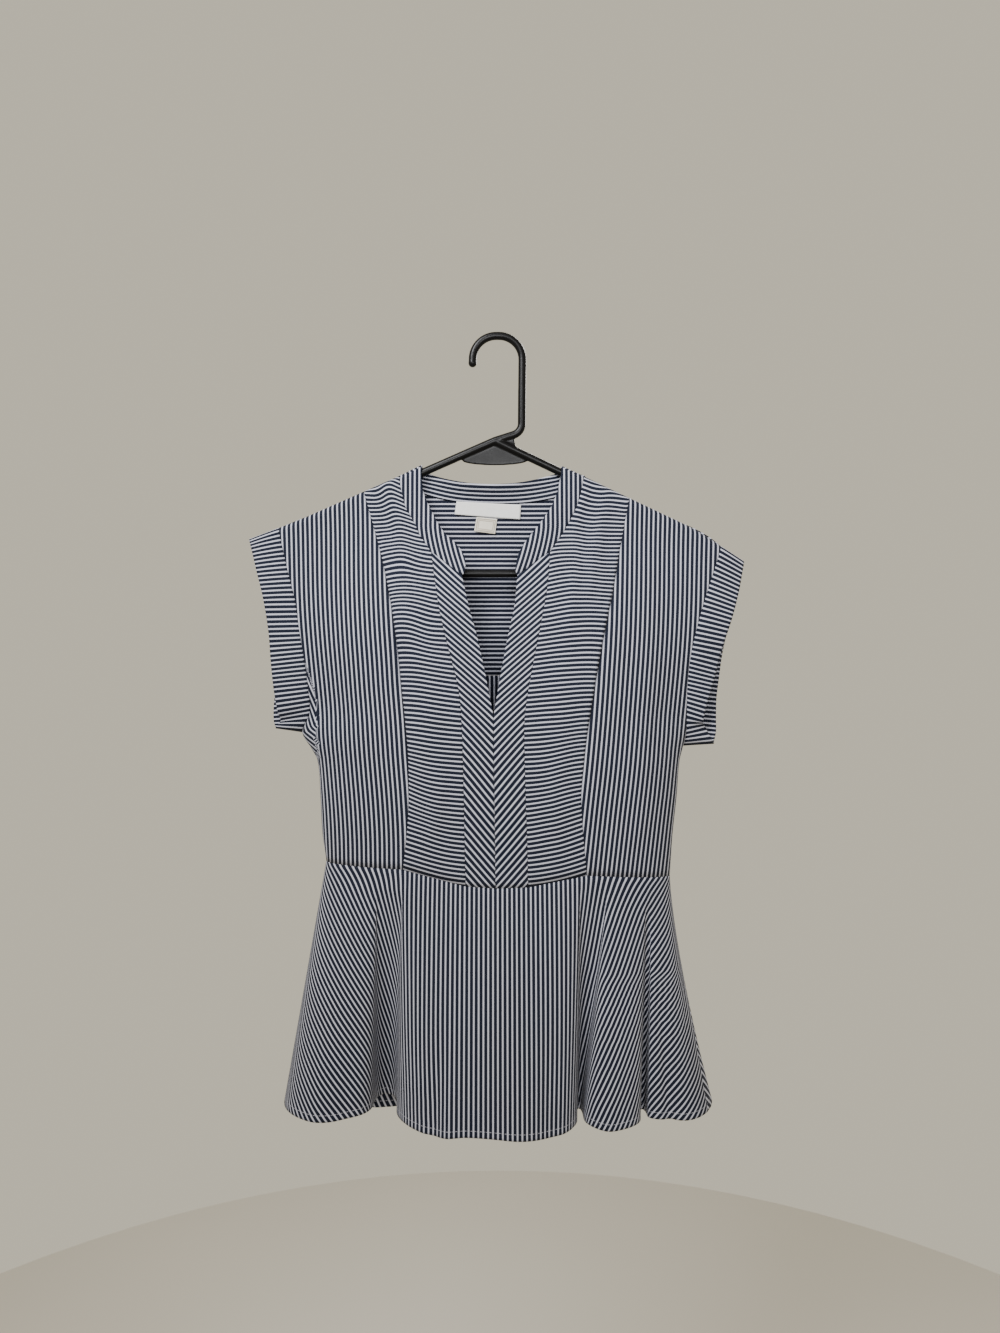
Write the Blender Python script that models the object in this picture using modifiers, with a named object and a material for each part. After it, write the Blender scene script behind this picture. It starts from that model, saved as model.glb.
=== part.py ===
"""Peplum top on a clothes hanger.

Every cloth piece is a thin wall on sections worked out from the sizes below.
Sizes are in mm: x to the viewer's right, y away from the viewer, z up.
The origin is the inside top of the hanger's hook, where a peg carries it.
"""

import math
from collections import namedtuple

import bmesh
import bpy

MM = 0.001

# Walls and the gaps between pieces. FOLD_LIFT parts the edges that meet on a fold, COLLAR_SEAT
# those of the collar and the back, so that their inner corners keep the gap too.
CLOTH = 1.2
DOUBLED = 1.8
LABEL = 1.0
GAP = 0.3
LABEL_LIFT = 0.5
FOLD_LIFT = 0.55
COLLAR_SEAT = 1.0

# Hanger: a round rod bent to a hook, two arms and a bar
ROD_RADIUS = 4.2
HOOK_HALF_WIDTH = 26.0
HOOK_BEND = 23.0
HOOK_TIP_DROP = 24.0
NECK_X = 25.0
NECK_DROP = 96.0
NECK_BEND = 10.0
APEX = (-3.0, -105.0)
ARM_HALF_SPAN = 209.0
ARM_END_BEND = 20.0
BAR_Z = -243.0
BAR_BEND = 22.0
BEND_STEP = math.radians(18)
STUB = 38.0
STUB_RADIUS = 4.1
WEB_HALF_WIDTH = 34.0
WEB_SAG = 4.0
WEB_THICKNESS = 3.0

# Cloth over the arms: outer face above the rod's centre line, and the drop in which it opens out
OVER_ROD = 6.4
RISE = 7.1
OPENS_OVER = 170.0
ROUND_SHARE = 0.6

# Each side of the body: column in the tables below, slope of the hanger's arm, how much the
# shoulder droops past DROOP_FROM (per mm of reach squared), and the height where the armhole closes
Side = namedtuple("Side", "name sign column slope droop underarm")
LEFT = Side("left", -1, 1, 0.44, -0.0010, -408.0)
RIGHT = Side("right", 1, 2, 0.475, 0.0024, -422.0)
DROOP_FROM = 190.0
SHOULDER_REACH = 228.0

# Seams of the bodice. Columns: z, left x, right x
BODY_EDGE = (
    (-190, -228, 240), (-214, -223, 232), (-240, -217, 224), (-270, -209, 214),
    (-300, -204, 205), (-330, -199, 198), (-360, -195, 195), (-388, -194, 195),
    (-408, -203, 195), (-422, -195, 193), (-437, -187, 189), (-475, -184, 186),
    (-512, -182, 182), (-541, -178, 180), (-556, -177, 179),
)
PRINCESS_SEAM = (
    (-157, -139, 138), (-220, -121, 126), (-262, -111, 118), (-306, -103, 108),
    (-365, -96, 97), (-424, -90, 88), (-471, -89, 84), (-506, -91, 86), (-550, -96, 90),
)
BAND_SEAM = (
    (-222, -68, 54), (-256, -63, 51), (-290, -57, 45), (-326, -48, 38),
    (-363, -39, 31), (-396, -36, 27), (-460, -34, 28), (-520, -33, 30), (-562, -32, 31),
)
NECK_SEAM = (
    (-141, -102, 90), (-160, -95, 86), (-176, -89, 81), (-190, -84, 74),
    (-204, -80, 66), (-222, -68, 54),
)
OPENING_EDGE = (
    (-247, -36, 20), (-278, -29, 17), (-311, -20, 10), (-348, -12, 3), (-389, -4, -4),
)
NOTCH_Z = -247.0
OPENING_POINT_Z = -389.0
CENTRE_WAIST = (-2.0, -563.0)

# Waist seam where each panel's seam reaches it. Columns: x, z
WAIST = (
    (-178, -541), (-96, -544), (-32, -561), (-2, -563), (31, -562), (90, -550), (179, -556),
)

# Half depths of the bodice at its middle. Columns: z, front, back
SECTIONS = (
    (-100, 8, 8), (-160, 13, 11), (-200, 22, 15), (-260, 32, 19), (-320, 38, 22),
    (-390, 41, 24), (-450, 40, 24), (-510, 37, 22), (-565, 34, 22),
)
ARMHOLE_HALF_DEPTH = 16.0
ARMHOLE_FULLNESS = 0.6
SIDE_CLOSES_ABOVE = 40.0
SIDE_CLOSES_OVER = 60.0

# Largest soft folds in the bodice. Columns: top x, top z, bottom x, bottom z, width, height
FRONT_FOLDS = (
    (-111, -146, -84, -270, 8, 2.6), (-120, -150, -104, -250, 6, -1.6),
    (113, -150, 90, -280, 8, 2.4), (-70, -300, -64, -555, 15, 2.0),
    (66, -290, 60, -555, 14, 2.2), (-150, -200, -140, -520, 16, 2.2),
    (160, -215, 146, -530, 15, 2.6),
)
BACK_FOLDS = (
    (-7, -330, -6, -560, 6, -5.0), (-13, -330, -22, -560, 6, 2.0), (0, -330, 12, -560, 6, 2.0),
    (-110, -190, -90, -545, 18, 2.5), (105, -190, 90, -550, 18, 2.5),
)

# Collar: its free edge beside the neck seam. Columns: share of the way from shoulder to notch,
# left x, left z, right x, right z, how far it stands out
COLLAR_FRONT = (
    (0.0, -79, -130, 67, -131, 0.0), (0.2, -77, -157, 62, -158, 1.5),
    (0.4, -69, -177, 54, -177, 2.5), (0.6, -57, -199, 43, -193, 3.0),
    (0.8, -42, -215, 31, -209, 3.0), (0.93, -33, -229, 21, -225, 2.5),
    (1.0, -33, -243, 18, -241, 1.5),
)
# Columns: share of the way from left to right shoulder, seam x, z, free edge x, z, lean
COLLAR_BACK = (
    (0.0, -102, -141, -79, -130, 0.0), (0.1, -98, -151, -76, -136, 0.6),
    (0.24, -76, -159, -61, -142, 3.0), (0.38, -43, -166, -34, -148, 7.0),
    (0.5, -6, -168, -6, -150, 9.0), (0.62, 31, -167, 23, -148, 7.0),
    (0.76, 65, -161, 49, -142, 3.0), (0.9, 86, -152, 63, -137, 0.6), (1.0, 90, -141, 67, -131, 0.0),
)
COLLAR_OVER_ROD = 7.2
YOKE_SEAM_Z = -349.0

# Cuffs: free edge of both layers. Columns: share of the height, front x, z, back x, z
CUFF_LEFT = (
    (0.0, -258, -207, -258, -207), (0.15, -250, -238, -250, -238), (0.3, -242, -268, -242, -268),
    (0.5, -236, -305, -236, -307), (0.75, -231, -356, -233, -358), (1.0, -224, -404, -224, -404),
)
CUFF_RIGHT = (
    (0.0, 256, -230, 256, -230), (0.15, 250, -260, 251, -260), (0.3, 242, -289, 244, -290),
    (0.5, 231, -321, 236, -326), (0.75, 222, -362, 230, -370), (1.0, 221, -420, 221, -420),
)
CUFF_HALF_DEPTH = 10.0
CUFF_FOLD = 3.6

# Flutes of the peplum at its hem: left and right x, depths of its crest, of the turn at its side and
# of the valley after it, left and right x at the waist, share of the height where that valley
# starts, and how late the flute spreads
Flute = namedtuple("Flute", "left right crest turn valley waist_left waist_right start sweep")
FRONT_FLUTES = (
    Flute(-219, -126, 54, 26, -1, -178, -121, 0.08, 1.0),
    Flute(-102, 80, 74, 36, 16, -95, 83, 0.02, 1.0),
    Flute(86, 143, 60, 38, 22, 112, 151, 0.1, 1.0),
    Flute(150, 222, 48, 38, 0, 156, 179, 0.05, 1.4),
)
BACK_FLUTES = (
    Flute(-219, -125, 42, 26, 8, -178, -120, 0.08, 1.0),
    Flute(-104, -12, 54, 36, 15, -98, -16, 0.2, 1.0),
    Flute(4, 92, 52, 34, 6, -2, 88, 0.12, 1.0),
    Flute(112, 222, 44, 26, 0, 102, 179, 0.06, 1.4),
)
FLUTE_SQUARENESS = 2.6
FLUTE_STEPS = 18
SIDE_SEAM_FORWARD = 28.0

# Level of the hem. Columns: x, front z, back z
HEM = (
    (-219, -783, -783), (-172, -789, -795), (-115, -784, -800), (-62, -796, -801), (-28, -795, -801),
    (30, -799, -802), (64, -797, -801), (84, -792, -800), (109, -795, -799), (147, -790, -798),
    (188, -790, -794), (222, -787, -787),
)

# Labels sewn inside the back neck: corners as (x, z), clockwise from the top left
MAIN_LABEL = ((-43, -167), (24.5, -170.5), (23.5, -185.5), (-45, -180.5))
SIZE_LABEL = ((-22, -183.5), (-0.5, -185.6), (-3, -199), (-25, -196))

# Mesh counts
ROWS = 18
NECK_ROWS = 8
ARMHOLE_ROWS = 14
SIDE_COLUMNS = 9
CENTRE_COLUMNS = 8
BAND_COLUMNS = 3
YOKE_ROWS = 9
YOKE_SHOULDER_COLUMNS = 6
YOKE_NECK_COLUMNS = 16
BACK_UPPER_ROWS = 3
BACK_LOWER_ROWS = 5
PEPLUM_ROWS = 9
WALL_STEPS = 3

# Colours as seen, linear, with roughness
STRIPED_CLOTH = ((0.25, 0.27, 0.36), 0.85)
LABEL_CLOTH = ((0.80, 0.79, 0.76), 0.6)
BLACK_PLASTIC = ((0.012, 0.012, 0.014), 0.38)


def clamp(value):
    return min(1.0, max(0.0, value))


def smooth_step(value):
    share = clamp(value)
    return share * share * (3 - 2 * share)


def mix(start, end, share):
    return start + (end - start) * share


def mix_points(start, end, share):
    return tuple(mix(a, b, share) for a, b in zip(start, end))


def read(rows, at, column, straight=False):
    """A curve through a table's rows, read where their first column has the value at."""
    rows = rows if rows[0][0] < rows[-1][0] else rows[::-1]
    low = 0
    while low < len(rows) - 2 and rows[low + 1][0] < at:
        low += 1
    x0, x1 = rows[low][0], rows[low + 1][0]
    y0, y1 = rows[low][column], rows[low + 1][column]
    share = clamp((at - x0) / (x1 - x0))
    if straight:
        return mix(y0, y1, share)
    span = x1 - x0
    slopes = []
    for index in (low, low + 1):
        before = rows[max(index - 1, 0)]
        after = rows[min(index + 1, len(rows) - 1)]
        slopes.append((after[column] - before[column]) / (after[0] - before[0]) * span)
    square, cube = share ** 2, share ** 3
    return ((2 * cube - 3 * square + 1) * y0 + (cube - 2 * square + share) * slopes[0]
            + (3 * square - 2 * cube) * y1 + (cube - square) * slopes[1])


def side_of(x):
    return LEFT if x < APEX[0] else RIGHT


def arm_z(side, out):
    """Height of an arm's centre line at a distance out from the apex."""
    return APEX[1] - side.slope * out


def shoulder_z(x):
    """Height of the shoulder line, which lies on the hanger's arm and droops past its end."""
    side = side_of(x)
    out = abs(x - APEX[0])
    return arm_z(side, out) + RISE - side.droop * max(0.0, out - DROOP_FROM) ** 2


def fold_lift(folds, x, z):
    lift = 0.0
    for top_x, top_z, bottom_x, bottom_z, width, height in folds:
        share = (z - top_z) / (bottom_z - top_z)
        if 0 < share < 1:
            line_x = mix(top_x, bottom_x, share)
            lift += height * math.sin(math.pi * share) * math.exp(-((x - line_x) / width) ** 2)
    return lift


def arch_depth(drop, radius):
    """Half depth of a round fold, at a drop below its top."""
    return radius * math.sqrt(1 - (1 - clamp(drop / radius)) ** 2)


def bodice_depth(x, z, column, folds):
    """Half depth of the bodice: an arch over the arm that opens out below it and closes at the sides."""
    side = side_of(x)
    edge = read(BODY_EDGE, z, side.column)
    inward = clamp((x - edge) / (APEX[0] - edge)) / ROUND_SHARE
    bend = min(inward, 1.0)
    flat = math.sin(math.pi / 2 * bend)
    round_ = math.sqrt(1 - (1 - bend) ** 2)
    below = smooth_step((side.underarm + SIDE_CLOSES_ABOVE - z) / SIDE_CLOSES_OVER)
    top = shoulder_z(side.sign * SHOULDER_REACH)
    height = clamp((top - z) / (top - side.underarm))
    mouth = ARMHOLE_HALF_DEPTH * math.sin(math.pi * height) ** ARMHOLE_FULLNESS if height < 1 else 0.0
    middle = read(SECTIONS, z, column)
    body = mix(mouth, middle, mix(flat, round_, below))
    drop = max(0.0, shoulder_z(x) - z)
    arch = arch_depth(drop, OVER_ROD)
    opened = smooth_step(drop / OPENS_OVER)
    depth = arch + (body - OVER_ROD) * opened + fold_lift(folds, x, z) * min(1.0, bend * 2)
    return max(depth, FOLD_LIFT)


def front_point(x, z):
    return (x, -bodice_depth(x, z, 1, FRONT_FOLDS), z)


def back_point(x, z):
    return (x, bodice_depth(x, z, 2, BACK_FOLDS), z)


def waist_z(x):
    return read(WAIST, x, 1, straight=True)


# Seams as points (x, z), read at a share from the shoulder (0) to the waist (1)

def princess_seam(side, share):
    top_x = PRINCESS_SEAM[0][side.column]
    bottom_x = PRINCESS_SEAM[-1][side.column]
    z = mix(shoulder_z(top_x), waist_z(bottom_x), share ** 2)
    return read(PRINCESS_SEAM, z, side.column), z


def armhole_top(side):
    """Where the armhole seam meets the shoulder line."""
    x = side.sign * SHOULDER_REACH
    for _ in range(8):
        x = read(BODY_EDGE, shoulder_z(x), side.column)
    return x, shoulder_z(x)


def body_edge(side, share):
    """Armhole seam down to the underarm, then the side seam."""
    turn = ARMHOLE_ROWS / ROWS
    top = armhole_top(side)[1]
    if share <= turn:
        z = mix(top, side.underarm, (share / turn) ** 2)
    else:
        bottom = WAIST[0][1] if side is LEFT else WAIST[-1][1]
        z = mix(side.underarm, bottom, (share - turn) / (1 - turn))
    return read(BODY_EDGE, z, side.column), z


def neck_seam(side, share):
    top_x = NECK_SEAM[0][side.column]
    z = mix(shoulder_z(top_x), NECK_SEAM[-1][0], share ** 2)
    return read(NECK_SEAM, z, side.column), z


def centre_edge(side, share):
    """Neck seam, then the seam to the front band."""
    turn = NECK_ROWS / ROWS
    if share <= turn:
        return neck_seam(side, share / turn)
    done = (share ** 2 - turn ** 2) / (1 - turn ** 2)
    z = mix(BAND_SEAM[0][0], waist_z(BAND_SEAM[-1][side.column]), done)
    return read(BAND_SEAM, z, side.column), z


def band_edge(side, share):
    """Edge of the front opening, then the centre front seam."""
    turn = NECK_ROWS / ROWS
    done = (share ** 2 - turn ** 2) / (1 - turn ** 2)
    point = ((ARMHOLE_ROWS / ROWS) ** 2 - turn ** 2) / (1 - turn ** 2)
    if done <= point:
        z = mix(NOTCH_Z, OPENING_POINT_Z, done / point)
        return read(OPENING_EDGE, z, side.column), z
    rest = (done - point) / (1 - point)
    return mix_points((OPENING_EDGE[-1][side.column], OPENING_POINT_Z), CENTRE_WAIST, rest)


def nudge(point, amount):
    return point[0] + amount, point[1]


# Mesh building

def finish_material(name, finish):
    material = bpy.data.materials.new(name)
    material.use_nodes = True
    shader = material.node_tree.nodes["Principled BSDF"]
    shader.inputs["Base Color"].default_value = (*finish[0], 1.0)
    shader.inputs["Roughness"].default_value = finish[1]
    shader.inputs["Metallic"].default_value = 0.0
    return material


def sheet(name, across, down, place, wall, finish, facing, ring=False):
    """A grid whose vertices go to place(u, v) in mm, given its wall on the side away from facing."""
    mesh = bpy.data.meshes.new(name)
    bm = bmesh.new()
    bmesh.ops.create_grid(bm, x_segments=across, y_segments=down, size=1.0)
    for vert in bm.verts:
        column = round((vert.co.x + 1) / 2 * across)
        row = round((vert.co.y + 1) / 2 * down)
        vert.co = [value * MM for value in place(column / across, row / down)]
    if ring:
        bmesh.ops.remove_doubles(bm, verts=bm.verts, dist=0.00001)
    bm.normal_update()
    outermost = max(bm.faces, key=lambda face: facing * face.calc_center_median().y)
    if outermost.normal.y * facing < 0:
        bmesh.ops.reverse_faces(bm, faces=bm.faces)
    bm.to_mesh(mesh)
    bm.free()
    mesh.shade_smooth()
    mesh.set_sharp_from_angle(angle=math.radians(50))
    mesh.materials.append(finish_material(name, finish))
    piece = bpy.data.objects.new(name, mesh)
    collection.objects.link(piece)
    solidify = piece.modifiers.new("wall", "SOLIDIFY")
    solidify.thickness = wall * MM
    solidify.offset = -1.0
    return piece


def rounded_path(corners):
    """Points along straight runs with arcs at the corners. Each corner is x, z, bend radius."""
    path = []
    for index, (x, z, radius) in enumerate(corners):
        if index in (0, len(corners) - 1) or radius == 0:
            path.append((x, z))
            continue
        before = corners[index - 1]
        after = corners[index + 1]
        angle_in = math.atan2(z - before[1], x - before[0])
        angle_out = math.atan2(after[1] - z, after[0] - x)
        turn = (angle_out - angle_in + math.pi) % (2 * math.pi) - math.pi
        cut = radius * math.tan(abs(turn) / 2)
        side = 1 if turn > 0 else -1
        start_x = x - cut * math.cos(angle_in)
        start_z = z - cut * math.sin(angle_in)
        centre_x = start_x - side * radius * math.sin(angle_in)
        centre_z = start_z + side * radius * math.cos(angle_in)
        steps = max(2, math.ceil(abs(turn) / BEND_STEP))
        for step in range(steps + 1):
            angle = angle_in + turn * step / steps
            point = (centre_x + side * radius * math.sin(angle),
                     centre_z - side * radius * math.cos(angle))
            if math.dist(point, path[-1]) > GAP:
                path.append(point)
    return path


def rod(name, path, radius=ROD_RADIUS):
    """A round plastic rod along a path of (x, z) in mm, as a curve with filled caps."""
    curve = bpy.data.curves.new(name, "CURVE")
    curve.dimensions = "3D"
    curve.bevel_depth = radius * MM
    curve.bevel_resolution = 2
    curve.use_fill_caps = True
    spline = curve.splines.new("POLY")
    spline.points.add(len(path) - 1)
    for point, (x, z) in zip(spline.points, path):
        point.co = (x * MM, 0.0, z * MM, 1.0)
    curve.materials.append(finish_material(name, BLACK_PLASTIC))
    piece = bpy.data.objects.new(name, curve)
    collection.objects.link(piece)
    return piece


# Bodice front

def front_side(side):
    """Side front, from the princess seam to the armhole and the side seam."""
    def place(u, v):
        inner = nudge(princess_seam(side, v), side.sign * GAP / 2)
        outer = nudge(body_edge(side, v), -side.sign * (GAP / 2 if v < ARMHOLE_ROWS / ROWS else 0))
        return front_point(*mix_points(inner, outer, math.sin(math.pi / 2 * u)))
    sheet("front_side_" + side.name, SIDE_COLUMNS, ROWS, place, CLOTH, STRIPED_CLOTH, -1)


def front_centre(side):
    """Centre front, from the collar and the front band to the princess seam."""
    def place(u, v):
        inner = nudge(centre_edge(side, v), side.sign * GAP / 2)
        outer = nudge(princess_seam(side, v), -side.sign * GAP / 2)
        return front_point(*mix_points(inner, outer, u))
    sheet("front_centre_" + side.name, CENTRE_COLUMNS, ROWS, place, CLOTH, STRIPED_CLOTH, -1)


def front_band(side):
    """Band cut on the bias beside the opening; below it the two bands meet at the centre front."""
    turn = NECK_ROWS / ROWS

    def place(u, v):
        share = mix(turn, 1.0, v)
        inner = nudge(band_edge(side, share), side.sign * GAP / 2)
        outer = nudge(centre_edge(side, share), -side.sign * GAP / 2)
        x, z = mix_points(inner, outer, u)
        return front_point(x, z - GAP * (1 - v))
    sheet("front_band_" + side.name, BAND_COLUMNS, ROWS - NECK_ROWS, place, CLOTH, STRIPED_CLOTH, -1)


# Bodice back

def back_neck(share):
    """Back neck seam as (x, z), close stations where it goes over the arms."""
    return read(COLLAR_BACK, share, 1), read(COLLAR_BACK, share, 2)


def back_neck_share(step):
    """Share along the back neck for a column: the first and last go round the arm."""
    first = (0.0, 0.012, 0.04, 0.075, 0.12, 0.19, 0.28, 0.38, 0.5)
    return first[step] if step < len(first) else 1 - first[YOKE_NECK_COLUMNS - step]


def yoke_top(column):
    shoulder = YOKE_SHOULDER_COLUMNS
    if column <= shoulder:
        end = armhole_top(LEFT)
        x = mix(end[0] + GAP / 2, NECK_SEAM[0][1], column / shoulder)
        return x, shoulder_z(x)
    if column < shoulder + YOKE_NECK_COLUMNS:
        return back_neck(back_neck_share(column - shoulder))
    end = armhole_top(RIGHT)
    x = mix(NECK_SEAM[0][2], end[0] - GAP / 2, (column - shoulder - YOKE_NECK_COLUMNS) / shoulder)
    return x, shoulder_z(x)


YOKE_COLUMNS = 2 * YOKE_SHOULDER_COLUMNS + YOKE_NECK_COLUMNS


def closer_at_sides(u):
    return (1 - math.cos(math.pi * u)) / 2


def across_back(u, z):
    return mix(read(BODY_EDGE, z, 1), read(BODY_EDGE, z, 2), closer_at_sides(u))


def back_yoke():
    def place(u, v):
        top_x, top_z = yoke_top(round(u * YOKE_COLUMNS))
        bottom_x = across_back(u, YOKE_SEAM_Z)
        z = mix(top_z, YOKE_SEAM_Z + GAP / 2, v ** 2)
        straight = mix(top_x, bottom_x, v ** 2)
        if u in (0, 1):
            side = LEFT if u == 0 else RIGHT
            straight = read(BODY_EDGE, z, side.column) - side.sign * GAP / 2
        return back_point(straight, z)
    sheet("back_yoke", YOKE_COLUMNS, YOKE_ROWS, place, CLOTH, STRIPED_CLOTH, 1)


def back_rows(v):
    """Share of the way from the yoke seam to the underarm, and on to the waist."""
    turn = BACK_UPPER_ROWS / (BACK_UPPER_ROWS + BACK_LOWER_ROWS)
    if v <= turn:
        return v / turn, 0.0
    return 1.0, (v - turn) / (1 - turn)


def back_edge(side, v):
    upper, lower = back_rows(v)
    bottom = WAIST[0][1] if side is LEFT else WAIST[-1][1]
    z = mix(mix(YOKE_SEAM_Z - GAP / 2, side.underarm, upper), bottom, lower)
    trim = GAP / 2 if upper < 1 else 0
    return read(BODY_EDGE, z, side.column) - side.sign * trim, z


def back_place(u, v):
    left_x, left_z = back_edge(LEFT, v)
    right_x, right_z = back_edge(RIGHT, v)
    return back_point(mix(left_x, right_x, closer_at_sides(u)), mix(left_z, right_z, u))


def back_body():
    rows = BACK_UPPER_ROWS + BACK_LOWER_ROWS
    sheet("back_body", YOKE_COLUMNS, rows, back_place, CLOTH, STRIPED_CLOTH, 1)


# Collar and cuffs

def collar_stations():
    """Pairs of seam and free edge points from the left notch round the back to the right notch."""
    stations = []
    for side in (LEFT, RIGHT):
        half = []
        for step in range(NECK_ROWS + BAND_COLUMNS + 1):
            if step <= NECK_ROWS:
                seam = neck_seam(side, step / NECK_ROWS)
            else:
                turn = NECK_ROWS / ROWS
                seam = mix_points(centre_edge(side, turn), band_edge(side, turn),
                                  (step - NECK_ROWS) / BAND_COLUMNS)
            share = (step / (NECK_ROWS + BAND_COLUMNS)) ** 2
            column = 2 * side.column - 1
            free = (read(COLLAR_FRONT, share, column), read(COLLAR_FRONT, share, column + 1))
            over = arch_depth(COLLAR_FRONT[0][column + 1] - free[1], COLLAR_OVER_ROD)
            free_y = -max(over, -front_point(*free)[1]) - read(COLLAR_FRONT, share, 5)
            half.append((front_point(*nudge(seam, -side.sign * GAP / 2)), (free[0], free_y, free[1])))
        stations.append(half)
    left, right = stations
    back = []
    for step in range(1, YOKE_NECK_COLUMNS):
        share = back_neck_share(step)
        seam_x, seam_z = back_neck(share)
        seam = back_point(seam_x, seam_z)
        free_x, free_z, lean = (read(COLLAR_BACK, share, column) for column in (3, 4, 5))
        top_z = COLLAR_BACK[0 if share < 0.5 else -1][4]
        over = arch_depth(top_z - free_z, COLLAR_OVER_ROD)
        free = (free_x, max(over, back_point(free_x, free_z)[1]) - lean, free_z)
        back.append((mix_points(seam, free, COLLAR_SEAT / math.dist(seam, free)), free))
    return left[::-1] + back + right


def collar():
    stations = collar_stations()

    def place(u, v):
        seam, free = stations[round(u * (len(stations) - 1))]
        return mix_points(seam, free, v)
    sheet("collar", len(stations) - 1, WALL_STEPS, place, DOUBLED, STRIPED_CLOTH, -1)


def cuff(side, table):
    """A band round the armhole, flattened by its own weight into a front and a back layer."""
    front = []
    for step in range(ARMHOLE_ROWS + 1):
        x, z = body_edge(side, step / ROWS)
        front.append(front_point(x, z))
    back = []
    for step in range(1, YOKE_ROWS + 1):
        z = mix(armhole_top(side)[1], YOKE_SEAM_Z, (step / YOKE_ROWS) ** 2)
        back.append(back_point(read(BODY_EDGE, z, side.column), z))
    for step in range(1, BACK_UPPER_ROWS + 1):
        z = mix(YOKE_SEAM_Z, side.underarm, step / BACK_UPPER_ROWS)
        back.append(back_point(read(BODY_EDGE, z, side.column), z))
    ring = front + back[::-1][1:]
    count = len(ring)
    top, bottom = ring[0][2], side.underarm

    def place(u, v):
        step = round(u * count) % count
        inner = ring[step]
        share = clamp((top - inner[2]) / (top - bottom))
        at_back = step > ARMHOLE_ROWS
        column = 3 if at_back else 1
        to_fold = min(share, 1 - share)
        half = arch_depth(to_fold * (top - bottom), CUFF_FOLD)
        half += (CUFF_HALF_DEPTH - CUFF_FOLD) * smooth_step(3 * to_fold)
        outer = (read(table, share, column), half if at_back else -half, read(table, share, column + 1))
        inner_y = 0.0 if step in (0, ARMHOLE_ROWS) else inner[1]
        start = (inner[0] + side.sign * GAP / 2, inner_y, inner[2])
        return mix_points(start, outer, v)
    sheet("cuff_" + side.name, count, WALL_STEPS, place, DOUBLED, STRIPED_CLOTH, -1, ring=True)


# Peplum

def flute_line(flutes, column):
    """The hem as seen from above, from left to right, with each point's place at the waist."""
    points = []

    def add(x, depth, envelope, waist_x, start, sweep):
        points.append((x, depth, read(HEM, x, column), envelope, waist_x, start, sweep))

    for index, flute in enumerate(flutes):
        middle = (flute.left + flute.right) / 2
        half = (flute.right - flute.left) / 2
        for step in range(FLUTE_STEPS + 1):
            angle = math.pi * step / FLUTE_STEPS
            reach = abs(math.cos(angle)) ** (2 / FLUTE_SQUARENESS)
            lift = abs(math.sin(angle)) ** (2 / FLUTE_SQUARENESS)
            first_half = angle < math.pi / 2
            outer_end = (index == 0 and first_half) or (index == len(flutes) - 1 and not first_half)
            base = 0.0 if outer_end else (flute.turn if index == 0 or not first_half
                                          else flutes[index - 1].turn)
            depth = mix(base, flute.crest, lift)
            x = middle - half * reach if first_half else middle + half * reach
            waist_x = mix(flute.waist_left, flute.waist_right, (x - flute.left) / (2 * half))
            start = flute.start if not first_half or index == 0 else flutes[index - 1].start
            add(x, depth, depth if outer_end else flute.crest, waist_x, start, flute.sweep)
        if index == len(flutes) - 1:
            break
        after = flutes[index + 1]
        for step in range(1, FLUTE_STEPS):
            angle = math.pi * step / FLUTE_STEPS
            share = (1 - math.cos(angle)) / 2
            depth = mix(flute.turn, flute.valley, abs(math.sin(angle)) ** (2 / FLUTE_SQUARENESS))
            add(mix(flute.right, after.left, share), depth, mix(flute.crest, after.crest, share),
                mix(flute.waist_right, after.waist_left, share), flute.start,
                mix(flute.sweep, after.sweep, share))
    return points


def peplum_row(line, v, bodice_point):
    """The line at share v of the height: flutes grow out of the smooth waist."""
    row = []
    for x, depth, hem_z, envelope, waist_x, start, sweep in line:
        waist = bodice_point(waist_x, waist_z(waist_x))
        grown = clamp((v - start) / (1 - start))
        side = 1 if bodice_point is back_point else -1
        y = mix(waist[1], side * envelope, v) + side * (depth - envelope) * grown
        row.append((mix(waist_x, x, v ** sweep), y, mix(waist[2] - GAP, hem_z, v)))
    return row


def lengths(points):
    total = [0.0]
    for start, end in zip(points, points[1:]):
        total.append(total[-1] + math.dist(start, end))
    return total


def walk(points, distance):
    """The point at a distance along a line of points."""
    total = lengths(points)
    for index in range(1, len(points)):
        if distance <= total[index] or index == len(points) - 1:
            share = (distance - total[index - 1]) / (total[index] - total[index - 1])
            return mix_points(points[index - 1], points[index], clamp(share))


def front_waist():
    """The bottom corners of the front panels' columns, from left to right."""
    stops = []
    for side in (LEFT, RIGHT):
        princess = princess_seam(side, 1.0)[0]
        band = centre_edge(side, 1.0)[0]
        edge = body_edge(side, 1.0)[0]
        half = [mix(CENTRE_WAIST[0], band, step / BAND_COLUMNS) for step in range(BAND_COLUMNS)]
        half += [mix(band, princess, step / CENTRE_COLUMNS) for step in range(CENTRE_COLUMNS)]
        half += [mix(princess, edge, math.sin(math.pi / 2 * step / SIDE_COLUMNS))
                 for step in range(SIDE_COLUMNS + 1)]
        stops.append(half)
    return [front_point(x, waist_z(x)) for x in stops[0][:0:-1] + stops[1]]


def back_waist():
    return [back_place(step / YOKE_COLUMNS, 1.0) for step in range(YOKE_COLUMNS + 1)]


def halved(points):
    result = [points[0]]
    for start, end in zip(points, points[1:]):
        result += [mix_points(start, end, 0.5), end]
    return result


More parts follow.
